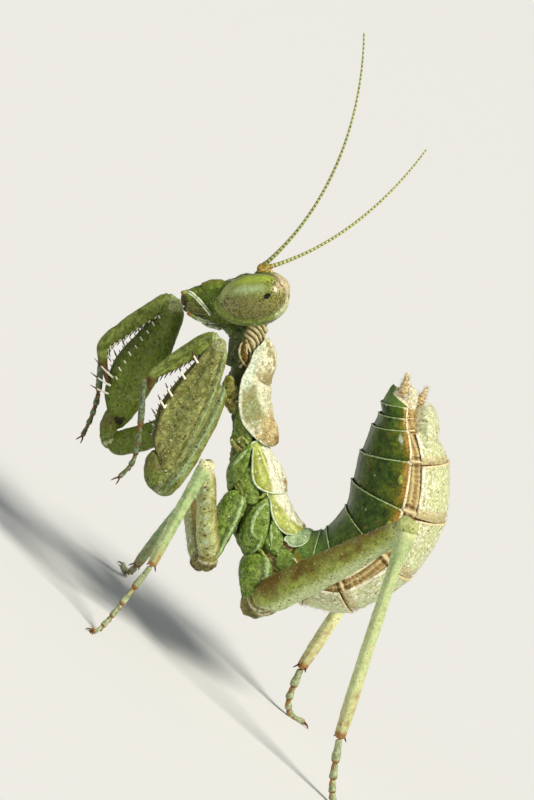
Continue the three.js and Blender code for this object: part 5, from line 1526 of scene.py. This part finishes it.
def on_head_limb(points, sizes, back, ends=0.12):
    return Limb(on_head(points), sizes, np.asarray(back, float) @ HEAD.T, ends)


# Polished cuticle, green with a brown tip.
lip_shell = cuticle(
    "green_face_plate", ("#485c10", "#7c9038", 0.18),
    marks=[("tip", "#3f3812", 0.4, 0.6), ("edge", "#a0803a", 0.5, 0.9)],
    specks=[(0.12, 0.025, 0.35, "#43540e"), (0.2, 0.03, 0.25, "#e8f0cc")],
    rough=0.38, relief=0.8)
rough_face = lambda s, a, p: 0.025 * noise(p, 0.18, 130) + 0.012 * noise(p, 0.07, 131)
face_plate = on_head_limb([(0.2, 0, 0.95), (0.34, 0, 1.35), (0.34, 0, 1.7), (0.26, 0, 1.98)],
    [(0, 0.5, 0.3), (0.45, 0.56, 0.46, 0.4), (0.8, 0.5, 0.44, 0.4), (1, 0.4, 0.42, 0.3)], [1, 0, 0],
    (0.15, 0.1))
upper_lip = on_head_limb([(0.24, 0, 1.85), (0.22, 0, 2.2), (0.12, 0, 2.6), (-0.06, 0, 2.88)],
    [(0, 0.42, 0.42, 0.3), (0.3, 0.44, 0.38, 0.36), (0.7, 0.36, 0.32, 0.34), (1, 0.2, 0.2, 0.26)],
    [1, 0, 0], (0.15, 0.2))
piece("face_plate_and_lip",
    [face_plate.part(60, 44, lambda s, a, p: rough_face(s, a, p) + 0.05 * bell(abs(a), 40, 12),
        edge=lambda s, a, p: 0.5 * bell(abs(a), 42, 7),
        # Painted shade where the face plate meets the upper lip.
        groove=lambda s, a, p: 0.5 * ramp(s, 0.93, 1.0)),
        upper_lip.part(60, 40, rough_face, tip=lambda s, a, p: ramp(s, 0.6, 0.85),
            edge=lambda s, a, p: 0.5 * bell(s, 0.12, 0.05))], lip_shell, ["clypeus_labrum"])

# The hardest cuticle, tanned brown to olive, and glossy.
jaw_shell = cuticle(
    "brown_and_olive_jaw", ("#4a4412", "#858233", 0.15),
    marks=[("green", "#5c7020", 0.5, 0.7), ("pale", "#cfdabb", 0.35, 0.5), ("dark", "#1c1004", 0.35, 0.4)],
    specks=[(0.1, 0.025, 0.4, "#33240a"), (0.12, 0.025, 0.4, "#a9b070")], rough=0.35, relief=0.9,
    contrast=0.45, glow=0.1)
jaws = []
for sign in (-1, 1):
    mandible = on_head_limb(
        [(-0.1, sign * 0.8, 0.95), (-0.02, sign * 0.66, 1.45), (0.02, sign * 0.42, 2.05),
            (-0.06, sign * 0.12, 2.55)],
        [(0, 0.34, 0.2, 0.3), (0.35, 0.42, 0.24, 0.3), (0.7, 0.3, 0.2), (1, 0.12, 0.1)], [0, sign, 0.2])
    jaws.append(
        mandible.part(60, 40, rough_face, green=lambda s, a, p: ramp(s, 0.85, 0.6),
            dark=lambda s, a, p: ramp(s, 0.86, 0.96)))
    for start, middle, tip, radius in (
        ((-0.52, 0.52, 1.0), (-0.44, 0.5, 1.9), (-0.22, 0.2, 2.86), 0.2),
        ((-0.34, 0.5, 1.1), (-0.2, 0.44, 2.0), (-0.02, 0.22, 2.82), 0.15),
        ((-0.66, 0.4, 1.1), (-0.62, 0.4, 1.9), (-0.42, 0.2, 2.7), 0.14),
    ):
        points = [(p[0], sign * p[1], p[2]) for p in (start, middle, tip)]
        lobe = on_head_limb(points,
            [(0, radius, radius * 0.8, radius), (0.5, radius, radius * 0.8, radius),
                (1, radius * 0.6, radius * 0.5)], [0, sign, 0])
        jaws.append(
            lobe.part(50, 36, rough_face, dark=lambda s, a, p: 0.8 * ramp(s, 0.85, 0.95),
                green=lambda s, a, p: 0.35 + 0.4 * noise(p, 0.2, 126),
                # Painted shade on the lobes' upper and lower sides, where they lie against each other.
                groove=lambda s, a, p: 0.8 * ramp(abs(a), 52, 80),
                pale=lambda s, a, p: 0.5 * bell(abs(a), 36, 10)))
    # The jaw's broad green base covers the roots of these lobes behind the cheek.
    stipes = on_head_limb(
        [(-0.55, sign * 0.62, 0.3), (-0.62, sign * 0.66, 1.0), (-0.56, sign * 0.56, 1.6),
            (-0.4, sign * 0.42, 2.1)],
        [(0, 0.4, 0.3), (0.35, 0.46, 0.24, 0.3), (0.75, 0.32, 0.18, 0.2), (1, 0.14, 0.1)], [0, sign, 0])
    jaws.append(
        stipes.part(70, 44, rough_face, green=lambda s, a, p: 1.0 + 0.5 * noise(p, 0.25, 132),
            dark=lambda s, a, p: 0.9 * bell(abs(a), 70, 9) * ramp(s, 0.1, 0.3)))
    # A thin bar edges the throat on each side, painted pale as a highlight along that edge.
    bar = on_head_limb(
        [(-0.8, sign * 0.3, 2.2), (-1.0, sign * 0.36, 1.9), (-1.12, sign * 0.36, 1.6),
            (-1.2, sign * 0.3, 1.4)],
        [(0, 0.05, 0.05, 0.06), (0.5, 0.08, 0.06, 0.08), (1, 0.05, 0.05, 0.06)], [0, sign, 0])
    jaws.append(bar.part(50, 20, rough_face, pale=lambda s, a, p: 0.6 + 0.6 * noise(p, 0.12, 133)))
# The throat is a dark green bulge that joins the jaws to the neck.
throat = Limb(
    [[-6.95, 0, 12.24], [-6.5, 0, 12.22], [-6.12, 0, 12.34], [-5.75, 0, 12.3], [-5.35, 0, 12.15]],
    [(0, 0.28, 0.3), (0.3, 0.44, 0.38, 0.4), (0.7, 0.5, 0.36, 0.5), (1, 0.42, 0.34, 0.4)], [0, 0, -1],
    ends=0.15)
jaws.append(
    throat.part(80, 56, lambda s, a, p: 0.05 * noise(p, 0.22, 134) + 0.02 * noise(p, 0.08, 135),
        green=lambda s, a, p: 0.9 + 0.5 * noise(p, 0.2, 136),
        dark=lambda s, a, p: 0.5 * ramp(noise(p, 0.16, 137), 0.2, 0.7),
        pale=lambda s, a, p: 0.6 * ramp(noise(p, 0.1, 138), 0.5, 0.9)))
lower_lip = on_head_limb([(-0.92, 0, 0.6), (-0.92, 0, 1.3), (-0.78, 0, 2.0), (-0.5, 0, 2.65)],
    [(0, 0.45, 0.14, 0.2), (0.4, 0.5, 0.14, 0.2), (0.8, 0.4, 0.12, 0.16), (1, 0.26, 0.08, 0.1)],
    [-1, 0, 0])
jaws.append(
    lower_lip.part(70, 44, rough_face, green=0.4,
        pale=lambda s, a, p: 0.9 * ramp(abs(abs(a) - 90), 30, 12)))
piece("jaws", jaws, jaw_shell, ["mouthparts"])

# Thin smooth cuticle, striped white and green.
palp_shell = cuticle(
    "striped_palp", ("#7f9a58", "#a5ba78", 0.15),
    marks=[("stripe", "#fbfdf2", 0.3, 0.2), ("joint", "#6a7c34", 0.3, 0.2), ("tip", "#9a5c2a", 0.5, 0.6)],
    relief=0.4, contrast=0.15, glow=0.2)


def palp(points, ends, radius, back):
    """A jointed feeler of the mouth along a path, its joints parted by narrow waists."""
    parts, start = [], 0.0
    path = on_head(points)
    for number, end in enumerate(ends):
        line = follow(path, np.linspace(start, end, 4))
        joint = Limb(line, [(0, radius * 0.75), (0.6, radius), (1, radius * 0.8)],
            np.asarray(back, float) @ HEAD.T, ends=(0.1, 0.12))
        last = number == len(ends) - 1
        parts.append(joint.part(
            26, 20, stripe=lambda s, a, p: ramp(abs(abs(a) - 52), 24, 12) * (not last),
            joint=lambda s, a, p: 0.8 * np.maximum(ramp(s, 0.93, 0.99), ramp(s, 0.06, 0.01)),
            tip=lambda s, a, p: 0.8 * last * ramp(s, 0.2, 0.7)))
        start = end - 0.01
    return parts


for name, sign in SIDES.items():
    upper = [(-0.62, sign * 0.62, 1.72), (-0.2, sign * 0.84, 1.98), (0.1, sign * 0.88, 2.2),
        (0.4, sign * 0.86, 2.52), (0.4, sign * 0.8, 2.84)]
    lower = [(-0.88, sign * 0.4, 1.55), (-0.84, sign * 0.62, 2.0), (-0.6, sign * 0.6, 2.4),
        (-0.42, sign * 0.5, 2.7)]
    parts = palp(upper, (0.14, 0.34, 0.6, 0.84, 1.0), 0.085, [0.3, sign, 0])
    parts += palp(lower, (0.3, 0.65, 1.0), 0.075, [0, sign, 0])
    piece("palps_" + name, parts, palp_shell, ["palp_" + name])

# ------ feelers
# Two long threads of fifty to sixty beads on a thick root joint, pale with dark joints, set
# in a yellow socket between the eyes. They rise, bend over and taper to their tips.

# Thin dry cuticle: pale beads with a dull gloss.
feeler_shell = cuticle(
    "beaded_feeler", ("#6f7434", "#8f9450", 0.3),
    marks=[("bead", "#bcc48a", 0.5, 0.5), ("root", "#a8903e", 0.5, 0.7), ("dark", "#5a4418", 0.5, 0.5)],
    relief=0.4, contrast=0.25, glow=0.15)
# Where each starts, its length, its rise and bends in degrees, and how it turns to the side.
FEELERS = {
    "left": ((1.118, -0.467, -0.452), 10.91, (76.35, 56.8, -9.1), (-12, 2)),
    "right": ((1.062, 0.235, -0.573), 9.12, (49.8, 54.7, -15.1), (22, 20)),
}
BEAD = 0.18
for name, (start, length, rise, splay) in FEELERS.items():
    steps = 120
    at = (np.arange(steps) + 0.5) / steps
    pitch = np.radians(rise[0] + rise[1] * at + rise[2] * at ** 2)
    away = np.radians(splay[0] + splay[1] * at)
    move = np.stack([np.cos(pitch) * np.cos(away), np.sin(away), np.sin(pitch) * np.cos(away)], -1)
    first = on_head(start)
    path = np.vstack([first, first + np.cumsum(move * length / steps, axis=0)])[::8]
    swell = lambda s: abs(np.sin(np.pi * s * length / BEAD))  # 1 at the middle of each bead
    thread = Limb(path, [(0, 0.1), (0.08, 0.08), (0.5, 0.055), (1, 0.032)], [0.2, 0.9, 0.1],
        ends=(0.002, 0.003))
    share, angle = np.meshgrid(np.linspace(0, 1, 620), np.arange(14) * 360 / 14, indexing="ij")
    points, _ = thread.at(share, angle, (0.016 - 0.007 * share) * (swell(share) - 0.5))
    flagellum = tube(points, bead=ramp(swell(share), 0.35, 0.8) * 0.95, dark=ramp(swell(share), 0.3, 0.05))
    aim = unit(path[1] - path[0])
    socket = np.asarray(start) - (0.22, 0, -0.02)
    root_joint = Limb([on_head(socket), first - aim * 0.05, first + aim * 0.16],
        [(0, 0.17), (0.55, 0.15), (0.7, 0.13), (1, 0.1)], [0, 1, 0.2], ends=(0.1, 0.15))
    second = Limb([first + aim * 0.1, first + aim * 0.2, first + aim * 0.32],
        [(0, 0.1), (0.5, 0.11), (1, 0.09)], [0, 1, 0.2], ends=0.2)
    parts = [flagellum, root_joint.part(30, 24, root=0.9, dark=lambda s, a, p: 0.7 * bell(s, 0.3, 0.06)),
        second.part(20, 20, root=0.7)]
    piece("feeler_" + name, parts, feeler_shell, ["antenna_" + name])

# Three small simple eyes sit between the feelers: clear lenses with sharp highlights.
simple_eye = cuticle("glassy_simple_eye", ("#b9a24a", "#dfcf86", 0.05), rough=0.15, relief=0.1,
    contrast=0.1, glow=0.1, coat=0.8)
dots = []
for point in ((0.98, 0.0, -0.34), (0.9, 0.2, -0.78), (0.9, -0.2, -0.78)):
    z, a = np.meshgrid(np.cos(np.linspace(0, np.pi, 14)), np.arange(20) * np.pi / 10, indexing="ij")
    ball = np.stack([np.sqrt(1 - z ** 2) * np.cos(a), np.sqrt(1 - z ** 2) * np.sin(a), z], -1)
    dots.append(tube(on_head(np.array(point) + ball * 0.075)))
piece("simple_eyes", dots, simple_eye, ["head"])

# Short pale hairs stand on the face, the cheeks and the back of the head.
chance = np.random.default_rng(240)
pick = chance.integers(0, local_skin.shape[0] * local_skin.shape[1], 900)
roots = local_skin.reshape(-1, 3)[pick]
roots = roots[(abs(roots[:, 1]) < 1.0) | (roots[:, 0] < -0.5)]
spread = np.c_[np.arctan2(roots[:, 0], roots[:, 2]) / (2 * np.pi) + 0.5, roots[:, 1] / 4 + 0.5]
ways = unit(roots) @ HEAD.T
piece("head_hairs",
    [bristles(on_head(roots), ways, 0.08 * chance.uniform(0.5, 1.2, len(roots)), HAIR_RADIUS, 0.4,
        241, spread)], pale_hair, ["head"])

# ------ coat of the trunk
# Short pale hairs along the hind margins of the plates and scattered over the belly.

rows_at = chance.integers(9, 14, 520) - 0.03 + 0.02 * chance.normal(size=520)
round_at = chance.uniform(-180, 180, 520)
place = np.r_[rows_at, chance.uniform(8.2, 13.0, 700)]
angle = np.r_[round_at, 180 + chance.uniform(-62, 62, 700)]
roots = on_trunk(place, angle, 0.09)
ways = roots - on_trunk(place, angle, -0.2) + 0.6 * (roots - on_trunk(place - 0.2, angle, 0.09))
spread = np.c_[place / LAST_RING, (angle + 180) / 480]
piece("trunk_hairs",
    [bristles(roots, ways, 0.09 * chance.uniform(0.5, 1.3, len(place)), HAIR_RADIUS, 0.3, 242,
        spread)], pale_hair, ["abdomen_5"])

# ------ floor, light and camera
# A plain pale floor under soft studio light: one broad key from above and in front, a weak
# fill from the left, and an even pale surround. The camera leans over to one side.

# Matt paint: soft shadows on the floor and no highlight.
floor_paint = bpy.data.materials.new("matt_pale_studio_floor")
floor_paint.use_nodes = True
paint = floor_paint.node_tree.nodes["Principled BSDF"]
paint.inputs["Base Color"].default_value = linear("#dfe2e2")
paint.inputs["Roughness"].default_value = 0.8
FLOOR_REACH = 1500.0
floor = bpy.data.meshes.new("studio_floor")
corners = [(x * FLOOR_REACH, y * FLOOR_REACH, 0) for x, y in ((-1, -1), (1, -1), (1, 1), (-1, 1))]
floor.from_pydata([[c * MM for c in corner] for corner in corners], [], [(0, 1, 2, 3)])
floor.materials.append(floor_paint)
floor = bpy.data.objects.new("studio_floor", floor)
bpy.context.scene.collection.objects.link(floor)


def sun(name, towards, strength, softness, tint):
    """A lamp far away whose light comes from the direction `towards`."""
    lamp = bpy.data.lights.new(name, "SUN")
    lamp.energy = strength
    lamp.angle = math.radians(softness)
    lamp.color = linear(tint)[:3]
    made = bpy.data.objects.new(name, lamp)
    x, y, z = towards
    made.rotation_euler = (math.atan2(math.hypot(x, y), z), 0, math.atan2(x, -y))
    bpy.context.scene.collection.objects.link(made)


sun("key_light", (0.4, -0.5, 0.85), 3.75, 22, "#fff7ea")
sun("fill_light", (-0.8, -0.7, 0.25), 0.2, 50, "#eef2ff")

world = bpy.data.worlds.new("studio_surround")
world.use_nodes = True
bpy.context.scene.world = world
sky = world.node_tree.nodes["Background"]
sky.inputs["Color"].default_value = linear("#e8ecf2")
sky.inputs["Strength"].default_value = 0.28

scene = bpy.context.scene
scene.view_settings.view_transform = "Standard"
scene.cycles.max_bounces = 6

ELEVATION, LEAN, DISTANCE = math.radians(8.6), math.radians(36), 250.0
FRAME_HEIGHT = 32.0  # mm of the object that the frame's long side takes in
target = np.array([-2.95, 0.0, 10.72]) + OVER_ORIGIN
view = np.array([0.0, math.cos(ELEVATION), -math.sin(ELEVATION)])
level, upright = np.array([1.0, 0, 0]), np.array([0.0, math.sin(ELEVATION), math.cos(ELEVATION)])
right = math.cos(LEAN) * level + math.sin(LEAN) * upright
up = -math.sin(LEAN) * level + math.cos(LEAN) * upright
lens = bpy.data.cameras.new("camera")
lens.sensor_width = 36.0
lens.lens = lens.sensor_width * DISTANCE / FRAME_HEIGHT
lens.clip_start = 0.01
lens.clip_end = 10.0
camera = bpy.data.objects.new("camera", lens)
turn = np.eye(4)
turn[:3, :3] = np.stack([right, up, -view], -1)
turn[:3, 3] = (target - view * DISTANCE) * MM
camera.matrix_world = Matrix(turn.tolist())
scene.collection.objects.link(camera)
scene.camera = camera
